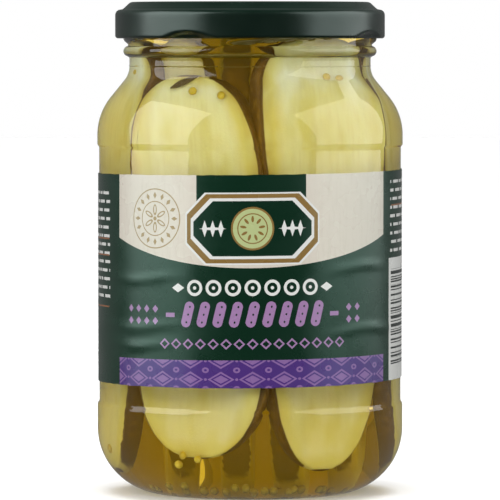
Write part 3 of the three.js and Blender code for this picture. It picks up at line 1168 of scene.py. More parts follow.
@dataclass(frozen=True)
class GlassJar:
    """The glass, with its bumper rings, shoulder, neck, bead, finish, base and mould marks."""

    radius: float = 41.3
    push_up: float = 3.2
    push_up_start: Point = (1.2, 0.55)
    rest_ring: Point = (22.2, 23.6)
    rest_round: float = 0.9
    lower_bumper_top: float = 24.0
    upper_bumper_bottom: float = 95.0
    panel_radius: float = 40.8
    panel: Point = (25.1, 93.5)
    panel_margin: float = 0.7
    shoulder_radius: float = 16.2
    shoulder_height: float = 96.8
    neck_curve: float = 6.0
    neck_height: float = 115.4
    neck_radius: float = 32.6
    bead: Point = (32.8, 119.4)
    bead_radius: float = 1.42
    finish_radius: float = 32.95
    finish_foot: float = 121.2
    finish_step: float = 0.42
    rim_height: float = 131.2
    rim_rounds: Point = (1.3, 1.1)
    mouth_radius: float = 30.0
    bore_radius: float = 38.5
    inner_heel: float = 14.0
    floor_height: float = 3.6
    floor_crown: float = 2.5
    floor_reach: float = 23.0
    filled_height: float = 125.2
    thread_start: float = -12.0
    thread_turn: float = 88.0
    thread_height: float = 122.25
    thread_rise: float = 4.0
    thread_proud: float = 1.3
    thread_half_height: float = 1.35
    thread_foot: float = 120.9
    seam_azimuths: Point = (-56.0, 124.0)
    seam_rise: float = 0.09
    seam_half_angle: float = 2.2
    knurl_ring: Point = (27.2, 3.8)
    knurl_rise: float = 0.2
    knurl_top: float = 2.2
    waver: float = 0.16
    waver_pace: float = 2.6
    segments: int = 216

    def shoulder(self, body_round: float, neck_round: float, steps: int) -> list[Point]:
        """Gives the shoulder from the body up to the neck, outside or inside.

        Args:
            body_round: Radius of the lower, bulging arc.
            neck_round: Radius of the upper, hollow arc.
            steps: How many stretches each arc is divided into.

        Returns:
            The shoulder's points, from the bottom up.
        """
        body = (self.radius - self.shoulder_radius, self.shoulder_height)
        neck = (self.neck_radius + self.neck_curve, self.neck_height)
        across, up = neck[0] - body[0], neck[1] - body[1]
        closing = math.acos((body_round + neck_round) / math.hypot(across, up))
        turn = math.degrees(math.atan2(up, across) - closing)
        lower = arc(body, body_round, 0, turn, steps)
        return lower + arc(neck, neck_round, 180 + turn, 180, steps)

    def inside(self, allowance: float, steps: int) -> list[Point]:
        """Gives the inside's outline from the mouth to the middle of the floor.

        Args:
            allowance: How far the outline is taken in from the glass.
            steps: How many stretches each arc is divided into.

        Returns:
            The outline, as radius and height.
        """
        neck_round = self.neck_radius + self.neck_curve - self.mouth_radius + allowance
        body_round = self.bore_radius - (self.radius - self.shoulder_radius) - allowance
        heel = (self.bore_radius - self.inner_heel, self.floor_height + self.inner_heel)
        floor = dome((heel[0], self.floor_height + allowance), self.floor_crown, steps)
        return [
            *reversed(self.shoulder(body_round, neck_round, steps)),
            *self.up_wall(body_round, heel[1], self.inner_heel - allowance, heel[0], steps),
            *floor[1:],
        ]

    def up_wall(self, body_round: float, top: float, heel: float, axis: float, steps: int) -> list[Point]:
        """Gives the straight wall and the heel inside, from the shoulder to the floor.

        Args:
            body_round: Radius of the shoulder's bulging arc, which ends at the wall.
            top: The height where the heel starts.
            heel: The heel's radius.
            axis: The radius of the heel's centre.
            steps: How many stretches the heel is divided into.

        Returns:
            The wall's and the heel's points.
        """
        wall_radius = self.radius - self.shoulder_radius + body_round
        heights = [self.shoulder_height + (top - self.shoulder_height) * i / 24 for i in range(1, 24)]
        return [(wall_radius, z) for z in heights] + arc((axis, top), heel, 0, -90, steps)

    def outside(self) -> list[Point]:
        """Gives the outside's outline from the middle of the base to the rim's top.

        Returns:
            The outline, as radius and height.
        """
        inner_rest, outer_rest = self.rest_ring
        heel = self.radius - outer_rest
        low, high = self.panel
        inset, lift = self.push_up_start
        base = list(reversed(dome((inner_rest - inset, lift), self.push_up - lift, 10)))
        base += arc((inner_rest, self.rest_round), self.rest_round, 205, 270, 3)
        margin, rows = self.panel_margin, 36
        even = [low + margin + (high - low - 2 * margin) * i / rows for i in range(rows + 1)]
        heights = [low, low + 0.15, low + 0.35, *even]
        outer_round, _ = self.rim_rounds
        rim = (self.finish_radius - outer_round, self.rim_height - outer_round)
        neck_line = self.neck_height - 0.1
        shoulder = self.shoulder(self.shoulder_radius, self.neck_curve, 16)
        return [
            *base,
            *arc((outer_rest, heel), heel, -90, 0, 30),
            *[(self.radius, self.lower_bumper_top - drop) for drop in (5.2, 4, 2.8, 1.6, 0.8, 0.4, 0)],
            (self.radius - 0.08, self.lower_bumper_top + 0.3),
            (self.panel_radius + 0.1, self.panel[0] - 0.3),
            *[(self.panel_radius, z) for z in heights],
            (self.panel_radius, high - 0.3),
            (self.panel_radius, high),
            (self.panel_radius + 0.09, high + 0.2),
            (self.radius - 0.09, high + 0.6),
            (self.radius, high + 0.8),
            *[(self.radius, self.upper_bumper_bottom + 0.3 * i) for i in range(5)],
            *shoulder[:-1],
            (self.neck_radius + 0.02, neck_line),
            (self.neck_radius + 0.16, neck_line + 0.12),
            (self.neck_radius + 0.02, neck_line + 0.26),
            (self.neck_radius, neck_line + 0.7),
            (self.neck_radius, neck_line + 1.4),
            (self.neck_radius, neck_line + 2.1),
            (self.neck_radius + 0.09, neck_line + 2.45),
            *arc(self.bead, self.bead_radius, -76, 80, 14),
            *[(self.finish_radius, self.finish_foot + self.finish_step * i) for i in range(20)],
            *arc(rim, outer_round, 0, 90, 6),
        ]

    def outline(self) -> list[Point]:
        """Gives the whole outline, from the base over the rim to the floor inside.

        Returns:
            The outline, as radius and height.
        """
        inner = self.rim_rounds[1]
        rim = arc((self.mouth_radius + inner, self.rim_height - inner), inner, 90, 180, 6)
        level, foot = self.filled_height, self.neck_height
        dry = [(self.mouth_radius, level + above) for above in (2.6, 1.2, 0.4)]
        wet = [(self.mouth_radius, level + (foot - level) * i / 6) for i in range(6)]
        return [*self.outside(), *rim, *dry, *wet, *self.inside(0, 14)]

    def is_inner(self, radius: float, height: float) -> bool:
        """Tells whether a point of the surface belongs to the wetted inside.

        Args:
            radius: The point's radius.
            height: The point's height.

        Returns:
            Whether the brine touches it.
        """
        if height > self.filled_height + 0.1:
            return False
        if height < self.floor_height + self.floor_crown + 0.5 and radius < self.floor_reach:
            return height > self.push_up + 0.2
        return radius < self.inner_radius(height) + 0.8

    def inner_radius(self, height: float) -> float:
        """Gives the inside's radius at a height.

        Args:
            height: The height.

        Returns:
            The radius.
        """
        bottom = self.floor_height + self.inner_heel
        if height < bottom:
            down = min(self.inner_heel, bottom - height)
            return self.bore_radius - self.inner_heel + math.sqrt(self.inner_heel**2 - down**2)
        outline = sorted(self.inside(0, 14), key=lambda point: point[1])
        for (r0, z0), (r1, z1) in zip(outline, outline[1:]):
            if z0 <= height <= z1 and z1 > bottom:
                return r0 + (r1 - r0) * (height - z0) / max(z1 - z0, 1e-9)
        return self.mouth_radius

    def marks(self, azimuth: float, radius: float, height: float) -> float:
        """Gives how far moulding marks raise a point of the outside.

        Args:
            azimuth: The point's azimuth.
            radius: The point's radius.
            height: The point's height.

        Returns:
            The rise: mould seams, knurls on the standing ring, and the threads.
        """
        raised = 0.0
        for seam in self.seam_azimuths:
            off = angle_from(azimuth, seam)
            raised += self.seam_rise * bump_between(off, 0, self.seam_half_angle)
        middle, half_width = self.knurl_ring
        if self.rest_ring[1] < radius < middle + half_width and height < self.knurl_top:
            across = bump_between(radius, middle, half_width)
            ripple = math.cos(math.radians(azimuth) * self.segments / 3)
            raised += self.knurl_rise * across * ripple
        if height > self.thread_foot:
            raised += self.thread(azimuth, height)
        return raised

    def thread(self, azimuth: float, height: float) -> float:
        """Gives how far the four threads raise a point of the finish.

        Args:
            azimuth: The point's azimuth.
            height: The point's height.

        Returns:
            The rise.
        """
        most = 0.0
        for start in range(4):
            share = ((azimuth - self.thread_start - 90 * start) % 360) / self.thread_turn
            if share > 1:
                continue
            line = self.thread_height + self.thread_rise * share
            fade = min(1.0, min(share, 1 - share) / 0.1)
            across = bump_between(height, line, self.thread_half_height) ** 0.5
            most = max(most, self.thread_proud * fade * across)
        return most

    def build(self) -> None:
        """Models the glass, marks its wetted inside and seats it."""
        piece = turned("glass_jar", self.outline(), self.segments)
        places = [vertex.co / MM for vertex in piece.data.vertices]
        inner = [self.is_inner(math.hypot(place.x, place.y), place.z) for place in places]
        rule_inner = iter(inner)

        def marked(azimuth: float, radius: float, height: float) -> Point:
            """Moves a point of the outside by its marks, and one inside by slow waves.

            Args:
                azimuth: The point's azimuth.
                radius: Its radius.
                height: Its height.

            Returns:
                The point's new radius and height.
            """
            if next(rule_inner):
                turn = math.radians(azimuth)
                spin = Vector((math.sin(turn), math.cos(turn), height / 38))
                wave = noise.noise(spin * self.waver_pace) * min(1.0, radius / 20)
                return radius + self.waver * wave, height
            return radius + self.marks(azimuth, radius, height), height

        reshape_round(piece, marked)
        wall = ClearGlass("clear_glass", 1.5).material()
        wetted = ClearGlass("wetted_glass", 1.128, ripple_depth=0.02).material()
        piece.data.materials.append(wall)
        piece.data.materials.append(wetted)
        for face in piece.data.polygons:
            face.material_index = int(all(inner[i] for i in face.vertices))
        shade_smooth(piece, 38)
        seat(piece, None, Slot.GLASS, Node.GLASS)


@dataclass(frozen=True)
class Brine:
    """The brine that fills the jar to just under the lid."""

    jar: GlassJar
    meniscus: float = 0.35
    meniscus_width: float = 2.5
    reach: float = 0.1
    segments: int = 128

    def build(self) -> None:
        """Models the brine, whose wall reaches just into the glass, and seats it."""
        sides = self.jar.inside(-self.reach, 12)
        radius = self.jar.mouth_radius + self.reach
        top = self.jar.filled_height
        flat = top - self.meniscus
        surface = [(0.0, flat), (radius - self.meniscus_width, flat), (radius, top)]
        piece = turned("brine", [*surface, *sides], self.segments)
        shade_smooth(piece, 40)
        seat(piece, GoldenBrine().material(), Slot.GHERKIN)


@dataclass(frozen=True)
class GherkinSlice:
    """One slice cut lengthwise out of a gherkin, as it stands in the jar.

    It faces its azimuth. `depth` is how far its middle is from the jar's axis that way, and
    `sideways` how far it is to the right. `lean`, `bend`, `slant` and `curl` tip and bow it, and
    `off_centre` is how far from the gherkin's own middle it is cut.
    """

    azimuth: float
    width: float
    length: float
    foot: float
    depth: float
    lean: float = 0.0
    bend: float = 0.0
    curl: float = 0.0
    slant: float = 0.0
    fuller: float = 0.12
    off_centre: float = 0.0
    grain: float = 0.9
    thickness: float = 7.0
    bluntness: float = 5.2
    head_bluntness: float = 5.2
    sideways: float = 0.0
    rings: int = 30
    flats: int = 48
    hollow: float = 0.45
    face_waves: Point = (0.8, 0.22)
    warts: float = 0.09
    unevenness: float = 0.03
    wall_gap: float = 0.35
    floor_gap: float = 0.3

    def girth(self, share: float) -> float:
        """Gives the gherkin's width at a share of its length, as a share of its full width.

        Args:
            share: The share of its length, from the foot.

        Returns:
            The share of its full width.
        """
        along = 2 * share - 1
        bluntness = self.head_bluntness if along > 0 else self.bluntness
        return math.sqrt(max(0.0, 1 - abs(along) ** bluntness)) * (1 + self.fuller * along)

    def half_width(self, height: float) -> float:
        """Gives the gherkin's radius at a height above its foot."""
        return self.width / 2 * self.girth(min(1.0, max(0.0, height / self.length)))

    def build(self, name: str, jar: GlassJar, material: bpy.types.Material) -> bpy.types.Object:
        """Models the slice: a whole gherkin cut by two planes, with relief, then stood in place.

        Args:
            name: The piece's name.
            jar: The jar whose wall the slice presses against.
            material: The gherkin's material.

        Returns:
            The seated slice.
        """
        turns = [math.pi * i / self.rings for i in range(self.rings + 1)]
        shares = [(1 - math.cos(turn)) / 2 for turn in turns]
        outline = [(self.half_width(self.length * s), self.length * s) for s in shares]
        outline[0], outline[-1] = (0.0, 0.0), (0.0, self.length)
        piece = turned(name, outline, self.flats)
        self.cut(piece)
        apply_modifier(piece, "REMESH", mode="VOXEL", voxel_size=self.grain * MM)
        apply_modifier(piece, "SMOOTH", factor=0.5, iterations=3)
        self.write_own_place(piece)
        reshape(piece, self.relief)
        across = self.sine * self.depth + self.cosine * self.sideways
        back = -self.cosine * self.depth + self.sine * self.sideways
        piece.location = Vector((across, back, self.foot)) * MM
        piece.rotation_euler = (math.radians(-self.lean), 0, math.radians(self.azimuth))
        apply_place(piece)
        self.press_to_wall(piece, jar)
        shade_smooth(piece, 60)
        seat(piece, material, Slot.GHERKIN, Node.SLICES)
        return piece

    @property
    def sine(self) -> float:
        """Gives the sine of the slice's azimuth."""
        return math.sin(math.radians(self.azimuth))

    @property
    def cosine(self) -> float:
        """Gives the cosine of the slice's azimuth."""
        return math.cos(math.radians(self.azimuth))

    def cut(self, piece: bpy.types.Object) -> None:
        """Cuts both rounded sides off the gherkin and closes the cuts.

        Args:
            piece: The whole gherkin.
        """
        make_active(piece)
        bpy.ops.object.mode_set(mode="EDIT")
        for side in (-1, 1):
            bpy.ops.mesh.select_all(action="SELECT")
            plane = (0, (self.off_centre + side * self.thickness / 2) * MM, 0)
            bpy.ops.mesh.bisect(
                plane_co=plane, plane_no=(0, side, 0), use_fill=True, clear_outer=True
            )
        bpy.ops.object.mode_set(mode="OBJECT")

    def write_own_place(self, piece: bpy.types.Object) -> None:
        """Stores each point's place in the gherkin, and its share of the way out to the skin.

        Args:
            piece: The slice, before it is bent and stood in place.
        """
        mesh = piece.data
        mesh.attributes.new("own_place", "FLOAT_VECTOR", "POINT")
        mesh.attributes.new("rind", "FLOAT", "POINT")
        place, rind = mesh.attributes["own_place"], mesh.attributes["rind"]
        shift = self.azimuth * 0.7
        for index, vertex in enumerate(mesh.vertices):
            x, y, z = vertex.co / MM
            place.data[index].vector = (x + shift, y, z + shift)
            ends = min(z, self.length - z) / 6.0
            outwards = math.hypot(x, y) / max(self.half_width(z), 1.0)
            rind.data[index].value = max(outwards, 1 - max(0.0, min(1.0, ends)) * 0.5)

    def relief(self, place: Vector) -> Vector:
        """Gives the cut faces their slight waves and the skin its warts, and bends the slice.

        Args:
            place: A point's place in the gherkin.

        Returns:
            The point's new place.
        """
        x, y, z = place
        half = max(self.half_width(z), 1.0)
        outwards = math.hypot(x, y) / half
        y -= self.off_centre
        seed = self.azimuth * 3.1
        face_wave = noise.noise(Vector((x * 0.09, seed, z * 0.045)))
        fine_wave = noise.noise(Vector((x * 0.3, seed + 9, z * 0.16)))
        side = 1 if y > 0 else -1
        flat = min(1.0, abs(y) / (self.thickness * 0.45))
        from_end = min(1.0, min(z, self.length - z) / 20)
        hollow = self.hollow * bump_between(x, 0, half * 0.75) * from_end
        broad, fine = self.face_waves
        y += flat * (broad * face_wave + fine * fine_wave) - side * flat * max(0.0, hollow)
        warts = noise.noise(Vector((x * 0.28 + seed, y * 0.28, z * 0.2)))
        wide = noise.noise(Vector((seed, 0.5, z * 0.05 + (3 if x > 0 else 0))))
        near_skin = max(0.0, outwards - 0.8)
        swell = 1 + near_skin * (self.warts * warts) + self.unevenness * wide
        along = 2 * z / self.length - 1
        curl = self.curl * max(0.0, along) ** 2
        aside = self.bend * (1 - along * along) + self.slant * along
        return Vector((x * swell + aside, y + curl, z))

    def press_to_wall(self, piece: bpy.types.Object, jar: GlassJar) -> None:
        """Flattens what would stick into the glass, as a slice pressed against it.

        Args:
            piece: The slice in its place.
            jar: The jar whose inside it keeps to.
        """
        last = math.floor(jar.rim_height)
        table = {z: jar.inner_radius(z) - self.wall_gap for z in range(last + 1)}

        def pressed(_: float, radius: float, height: float) -> Point:
            """Keeps a point inside the wall and above the floor.

            Args:
                _: The point's azimuth, which makes no difference.
                radius: Its radius.
                height: Its height.

            Returns:
                The point's new radius and height.
            """
            low = max(0, min(last - 1, int(height)))
            room = table[low] + (table[low + 1] - table[low]) * min(1.0, max(0.0, height - low))
            floor = jar.floor_height + self.floor_gap
            return min(radius, room), max(height, floor)

        reshape_round(piece, pressed)


@dataclass(frozen=True)
class SliceFilling:
    """The slices that fill the jar: six at the wall and six in the middle."""

    jar: GlassJar
    wall: tuple[GherkinSlice, ...] = (
        GherkinSlice(
            azimuth=-27.4, width=37.7, length=100.4, foot=12.2, depth=30.7, lean=1.2, bend=3.0,
            curl=2.0, slant=-2.6, fuller=0.0, off_centre=2.5, grain=0.8,
        ),
        GherkinSlice(
            azimuth=35.8, width=35.9, length=114.5, foot=9.2, depth=30.7, lean=1.2, bend=0.2,
            curl=5.5, slant=1.6, off_centre=2.5, grain=0.8, head_bluntness=9.0,
        ),
        GherkinSlice(
            azimuth=98, width=33.0, length=113.5, foot=9.6, depth=30.3, lean=1.4, curl=4.5,
            off_centre=2.5,
        ),
        GherkinSlice(
            azimuth=158, width=35.0, length=110, foot=8.6, depth=30.7, lean=1.5, curl=4.5,
            off_centre=2.5,
        ),
        GherkinSlice(
            azimuth=217, width=36.0, length=109, foot=9.6, depth=30.5, lean=1.4, curl=4.5,
            off_centre=2.5,
        ),
        GherkinSlice(
            azimuth=277, width=33.0, length=113.5, foot=9.4, depth=29.6, lean=1.4, curl=2.5,
            off_centre=2.5,
        ),
    )
    middle: tuple[GherkinSlice, ...] = (
        GherkinSlice(
            azimuth=88, width=22.0, length=100, foot=9.2, depth=19.0, bend=-0.8, grain=1.1,
            sideways=1.2,
        ),
        GherkinSlice(
            azimuth=88, width=34.0, length=98, foot=7.6, depth=8.5, bend=-1.0, grain=1.1,
            sideways=-4.5,
        ),
        GherkinSlice(
            azimuth=88, width=34.0, length=115, foot=8.0, depth=-2.7, bend=0.8, grain=1.1,
            head_bluntness=9.0, sideways=-4.5,
        ),
        GherkinSlice(
            azimuth=88, width=22.0, length=98, foot=8.6, depth=-14.0, bend=1.0, grain=1.1,
            sideways=1.0,
        ),
        GherkinSlice(
            azimuth=180, width=34.0, length=115, foot=9.0, depth=17.0, bend=0.6, grain=1.1,
            head_bluntness=9.0,
        ),
        GherkinSlice(
            azimuth=-30, width=14.5, length=99, foot=25.0, depth=18.8, head_bluntness=9.0,
            sideways=-6.5,
        ),
    )

    def build(self) -> None:
        """Builds every slice."""
        material = PickledGherkin().material()
        for number, one in enumerate((*self.wall, *self.middle), start=1):
            one.build(f"gherkin_slice_{number:02d}", self.jar, material)


@dataclass(frozen=True)
class SkinFlap:
    """A loose flap of dark skin at the head of the front slice on the left."""

    jar: GlassJar
    azimuth: float = -32.8
    height: float = 110.6
    size: tuple[float, float, float] = (8.4, 0.7, 2.1)
    slope: float = 27.0
    wall_gap: float = 0.7

    def build(self) -> None:
        """Models the flap as a flat leaf that lies against the wall, and seats it."""
        deselect()
        bpy.ops.mesh.primitive_uv_sphere_add(segments=40, ring_count=16, radius=0.5 * MM)
        piece = bpy.context.object
        piece.name = piece.data.name = "skin_flap"
        reshape(piece, self.leaf)
        shade_smooth(piece, 60)
        seat(piece, PickledSkin().material(), Slot.GHERKIN)

    def leaf(self, place: Vector) -> Vector:
        """Stretches a ball's point to a sloping pointed leaf, and wraps it inside the wall.

        Args:
            place: The ball's point.

        Returns:
            The leaf's point.
        """
        length, thickness, breadth = self.size
        pointed = 1 - 0.55 * (2 * place.x) ** 2
        along, up = place.x * length, place.z * breadth * pointed * (1.0 - 0.5 * place.x)
        slope = math.radians(self.slope)
        across = along * math.cos(slope) - up * math.sin(slope)
        height = self.height + along * math.sin(slope) + up * math.cos(slope)
        radius = self.jar.inner_radius(height) - self.wall_gap + place.y * thickness
        turn = math.radians(self.azimuth) + across / radius
        return Vector((radius * math.sin(turn), -radius * math.cos(turn), height))


@dataclass(frozen=True)
class MustardSeeds:
    """The mustard seeds that cling to the slices, float and lie on the jar's floor."""

    jar: GlassJar
    radius: float = 1.22
    wall_gap: float = 0.35
    clinging: tuple[Point, ...] = (
        (-78.0, 113.0),
        (-27.3, 107.9),
        (-13.0, 106.9),
        (41.7, 111.9),
        (50.0, 111.3),
        (-28.5, 13.1),
        (-22.0, 12.2),
        (-31.5, 10.8),
        (-75.0, 13.4),
    )
    sunk: int = 60
    draw: int = 11

    def places(self) -> Iterable[Place]:
        """Gives the middle of each seed, those at the wall first.

        Returns:
            The places, in millimetres.
        """
        for azimuth, height in self.clinging:
            yield self.at_wall(azimuth, height, self.wall_gap)
        dice = random.Random(self.draw)
        for index in range(self.sunk):
            azimuth = 360 * (index + 0.8 * dice.random()) / self.sunk
            height = self.jar.floor_height + self.radius + 0.2 + 0.9 * dice.random() ** 2
            yield self.at_wall(azimuth, height, 0.3 + 4.0 * dice.random() ** 2)

    def at_wall(self, azimuth: float, height: float, gap: float) -> Place:
        """Gives a place that leaves a gap between a seed and the wall.

        Args:
            azimuth: The seed's azimuth.
            height: The seed's height.
            gap: The gap.

        Returns:
            The middle of the seed.
        """
        low = min(self.jar.inner_radius(height), self.jar.inner_radius(height - self.radius * 0.8))
        reach = low - self.radius - gap
        turn = math.radians(azimuth)
        return reach * math.sin(turn), -reach * math.cos(turn), height

    def build(self) -> None:
        """Models one seed, copies it to every place and joins the copies."""
        deselect()
        bpy.ops.mesh.primitive_ico_sphere_add(subdivisions=2, radius=self.radius * MM)
        first = bpy.context.object
        bpy.ops.object.mode_set(mode="EDIT")
        bpy.ops.transform.resize(value=(1, 0.93, 0.88))
        bpy.ops.object.mode_set(mode="OBJECT")
        dice = random.Random(self.draw + 1)
        copies = []
        for place in self.places():
            copy = first.copy()
            copy.data = first.data.copy()
            copy.location = Vector(place) * MM
            copy.rotation_euler = [dice.uniform(0, math.pi) for _ in range(3)]
            copy.scale = [dice.uniform(0.88, 1.08)] * 3
            bpy.context.scene.collection.objects.link(copy)
            copies.append(copy)
        bpy.data.objects.remove(first)
        deselect()
        for copy in copies:
            copy.select_set(True)
        bpy.context.view_layer.objects.active = copies[0]
        bpy.ops.object.join()
        piece = bpy.context.object
        piece.name = piece.data.name = "mustard_seeds"
        apply_place(piece)
        shade_smooth(piece, 80)
        seat(piece, MustardSeedCoat().material(), Slot.GHERKIN)


@dataclass(frozen=True)
class TwistOffLid:
    """The tinplate lid: raised ring, recessed panel, safety button, skirt, curl and lugs."""

    radius: float = 36.45
    top: float = 132.7
    skirt_bottom: float = 122.85
    wall: float = 0.75
    corner_round: float = 1.5
    corner_height: float = 129.14
    curl: float = 0.8
    shelf: Point = (34.5, 130.72)
    crown: Point = (28.6, 31.6)
    crown_round: float = 1.75
    panel_height: float = 131.8
    panel_thickness: float = 0.5
    underside: Point = (31.9, 131.5)
    button: float = 12.0
    lug_azimuth: float = -27.5
    lug_half_angle: float = 13.0
    lug_reach: float = 1.45
    lug_top: float = 125.1
    lug_slope: float = 1.5
    segments: int = 192

    def outline(self) -> list[Point]:
        """Gives the lid's outline, from the middle of its underside round to its top.

        Returns:
            The outline, as radius and height.
        """
        inner_crown, crown_middle = self.crown
        skirt_inside = self.radius - self.wall
        curl = (self.radius - self.curl, self.skirt_bottom + self.curl)
        corner = (self.radius - self.corner_round, self.corner_height)
        under = self.panel_height - self.panel_thickness
        lugs = [curl[1] + 0.25 * i for i in range(1, 9)]
        skirt = [*lugs, *[lugs[-1] + (self.corner_height - lugs[-1]) * i / 4 for i in range(1, 4)]]
        return [
            (0.0, under),
            (self.button, under),
            (inner_crown - 0.9, under),
            (inner_crown, self.underside[1]),
            self.underside,
            (skirt_inside, self.corner_height),
            *[(skirt_inside, z) for z in reversed(skirt)],
            *arc(curl, self.curl, 172, 360, 16),
            *[(self.radius, z) for z in skirt],
            *arc(corner, self.corner_round, 0, 76, 8),
            self.shelf,
            (self.shelf[0] - 0.3, self.shelf[1] + 0.2),
            *arc((crown_middle, self.top - self.crown_round), self.crown_round, 42, 90, 8),
            *arc((inner_crown + 1.3, self.top - 0.55), 0.55, 90, 150, 4),
            *arc((inner_crown - 0.35, self.panel_height + 0.45), 0.45, 320, 270, 4),
            (self.button + 3.4, self.panel_height),
            (self.button + 2.7, self.panel_height + 0.08),
            (self.button + 1.3, self.panel_height + 0.3),
            (self.button + 0.6, self.panel_height + 0.35),
            (4.0, self.panel_height + 0.42),
            (0.0, self.panel_height + 0.44),
        ]

    def pressed(self, azimuth: float, radius: float, height: float) -> Point:
        """Presses the four lugs in from the curled edge.

        Args:
            azimuth: A point's azimuth.
            radius: Its radius.
            height: Its height.

        Returns:
            The point's new radius and height.
        """
        offset = (azimuth - self.lug_azimuth + 45) % 90 - 45
        across = max(0.0, 1 - (offset / self.lug_half_angle) ** 2)
        edge = self.skirt_bottom + (self.lug_top - self.skirt_bottom) * across
        share = min(1.0, max(0.0, (edge - height) / self.lug_slope))
        soft = share * share * (3 - 2 * share)
        return radius - self.lug_reach * across**0.5 * soft, height

    def build(self) -> None:
        """Models the lid, presses its lugs and seats it."""
        piece = turned("twist_off_lid", self.outline(), self.segments)
        reshape_round(piece, self.pressed)
        shade_smooth(piece, 50)
        seat(piece, LidLacquer().material(), Slot.LID, Node.LID)


@dataclass(frozen=True)
class PaperLabel:
    """The paper label, put on slightly crooked, with a strip of bare glass behind."""

    PRINT_MAP = "print"

    radius: float = 40.88
    thickness: float = 0.2
    bottom: float = 31.0
    top: float = 87.1
    climb: float = 0.37
    half_angle: float = 172.5
    columns: int = 345
    rows: int = 56
    crease_rise: float = 0.16
    crease_width: float = 0.9
    cockle: float = 0.06
    ragged: float = 0.12
    creases: tuple[tuple[float, float, float], ...] = (
        (-36.0, 28.6, 22.0),
        (-38.0, 15.8, 26.0),
        (-34.0, 11.0, 18.0),
        (34.0, 31.0, 16.0),
        (38.0, 14.5, 20.0),
        (80.0, 20.0, 24.0),
        (-90.0, 34.0, 24.0),
    )

    def build(self, design: LabelPrint) -> None:
        """Models the sheet: a flat grid that is mapped, wrapped round the jar, creased and thickened.

        Args:
            design: What is printed on it.
        """
        deselect()
        bpy.ops.mesh.primitive_grid_add(x_subdivisions=self.columns, y_subdivisions=self.rows, size=1)
        piece = bpy.context.object
        piece.name = piece.data.name = "paper_label"
        self.map_print(piece, design)
        reshape(piece, self.wrapped)
        apply_modifier(piece, "SOLIDIFY", thickness=self.thickness * MM, offset=1.0)
        shade_smooth(piece, 50)
        seat(piece, design.material(), Slot.PAPER, Node.LABEL)

    def flat_place(self, place: Vector) -> Point:
        """Gives a grid point's place on the flat label, from the front's middle and the foot.

        Args:
            place: The grid point's place.

        Returns:
            How far across and how far up it is.
        """
        reach = math.radians(self.half_angle) * (self.radius + self.thickness)
        return 2 * reach * place.x * MM, (place.y * MM + 0.5) * (self.top - self.bottom)

    def map_print(self, piece: bpy.types.Object, design: LabelPrint) -> None:
        """Writes the map on which the print is laid out, before the sheet is wrapped.

        Args:
            piece: The flat sheet.
            design: What is printed on it.
        """
        chart = piece.data.uv_layers.new(name=self.PRINT_MAP)
        piece.data.uv_layers.active = chart
        for loop in piece.data.loops:
            across, up = self.flat_place(piece.data.vertices[loop.vertex_index].co / MM)
            chart.data[loop.index].uv = (across / design.sheet_size + 0.5, up / design.sheet_size)

    def wrapped(self, place: Vector) -> Vector:
        """Wraps a flat grid point round the glass, with the paper's creases.

        Args:
            place: The grid point's place.

        Returns:
            The point's place on the jar.
        """
        across, up = self.flat_place(place)
        azimuth = across / (self.radius + self.thickness)
        lift = 0.0
        for crease_across, crease_up, reach in self.creases:
            along = bump_between(across, crease_across, reach)
            drift = up - crease_up - 0.02 * (across - crease_across) - 0.5 * math.sin(across * 0.23)
            lift += self.crease_rise * along * math.exp(-((drift / self.crease_width) ** 2))
        cockles = noise.noise(Vector((across * 0.05, up * 0.11, 0.3)))
        lift += self.cockle * (0.5 + 0.5 * cockles)
        edge = noise.noise(Vector((across * 0.35, 4.0 if up > 20 else 0.0, 7.7)))
        near_edge = bump_between(up, 0, 1.5) + bump_between(up, self.top - self.bottom, 1.5)
        rough = self.ragged * edge * near_edge
        radius = self.radius + lift
        height = self.bottom + up + self.climb * azimuth + rough
        return Vector((radius * math.sin(azimuth), -radius * math.cos(azimuth), height))


# The studio


class LightUse(Enum):
    """What a lamp does: it shows in glossy surfaces, or it lights the matt ones."""

    SHINE = "shine"
    FILL = "fill"


@dataclass(frozen=True)
class Softbox:
    """A soft rectangular light that faces the jar.

    `place` is its middle's distance from the jar's axis and its height, and `size` its width and
    height, all in metres. Its power is in watts.
    """

    name: str
    use: LightUse
    azimuth: float
    place: Point
    size: Point
    power: float

    def build(self, aim_height: float) -> None:
        """Adds the light, turned to a point on the jar's axis.

        Args:
            aim_height: The point's height in millimetres.
        """
        data = bpy.data.lights.new(self.name, "AREA")
        data.shape = "RECTANGLE"
        data.size, data.size_y = self.size
        data.energy = self.power
        lamp = bpy.data.objects.new(self.name, data)
        turn = math.radians(self.azimuth)
        distance, height = self.place
        lamp.location = (distance * math.sin(turn), -distance * math.cos(turn), height)
        aim = Vector((0, 0, aim_height * MM)) - lamp.location
        lamp.rotation_euler = aim.to_track_quat("-Z", "Y").to_euler()
        lamp.visible_camera = False
        lamp.visible_transmission = False
        lamp.visible_diffuse = self.use is LightUse.FILL
        lamp.visible_glossy = self.use is LightUse.SHINE
        bpy.context.scene.collection.objects.link(lamp)


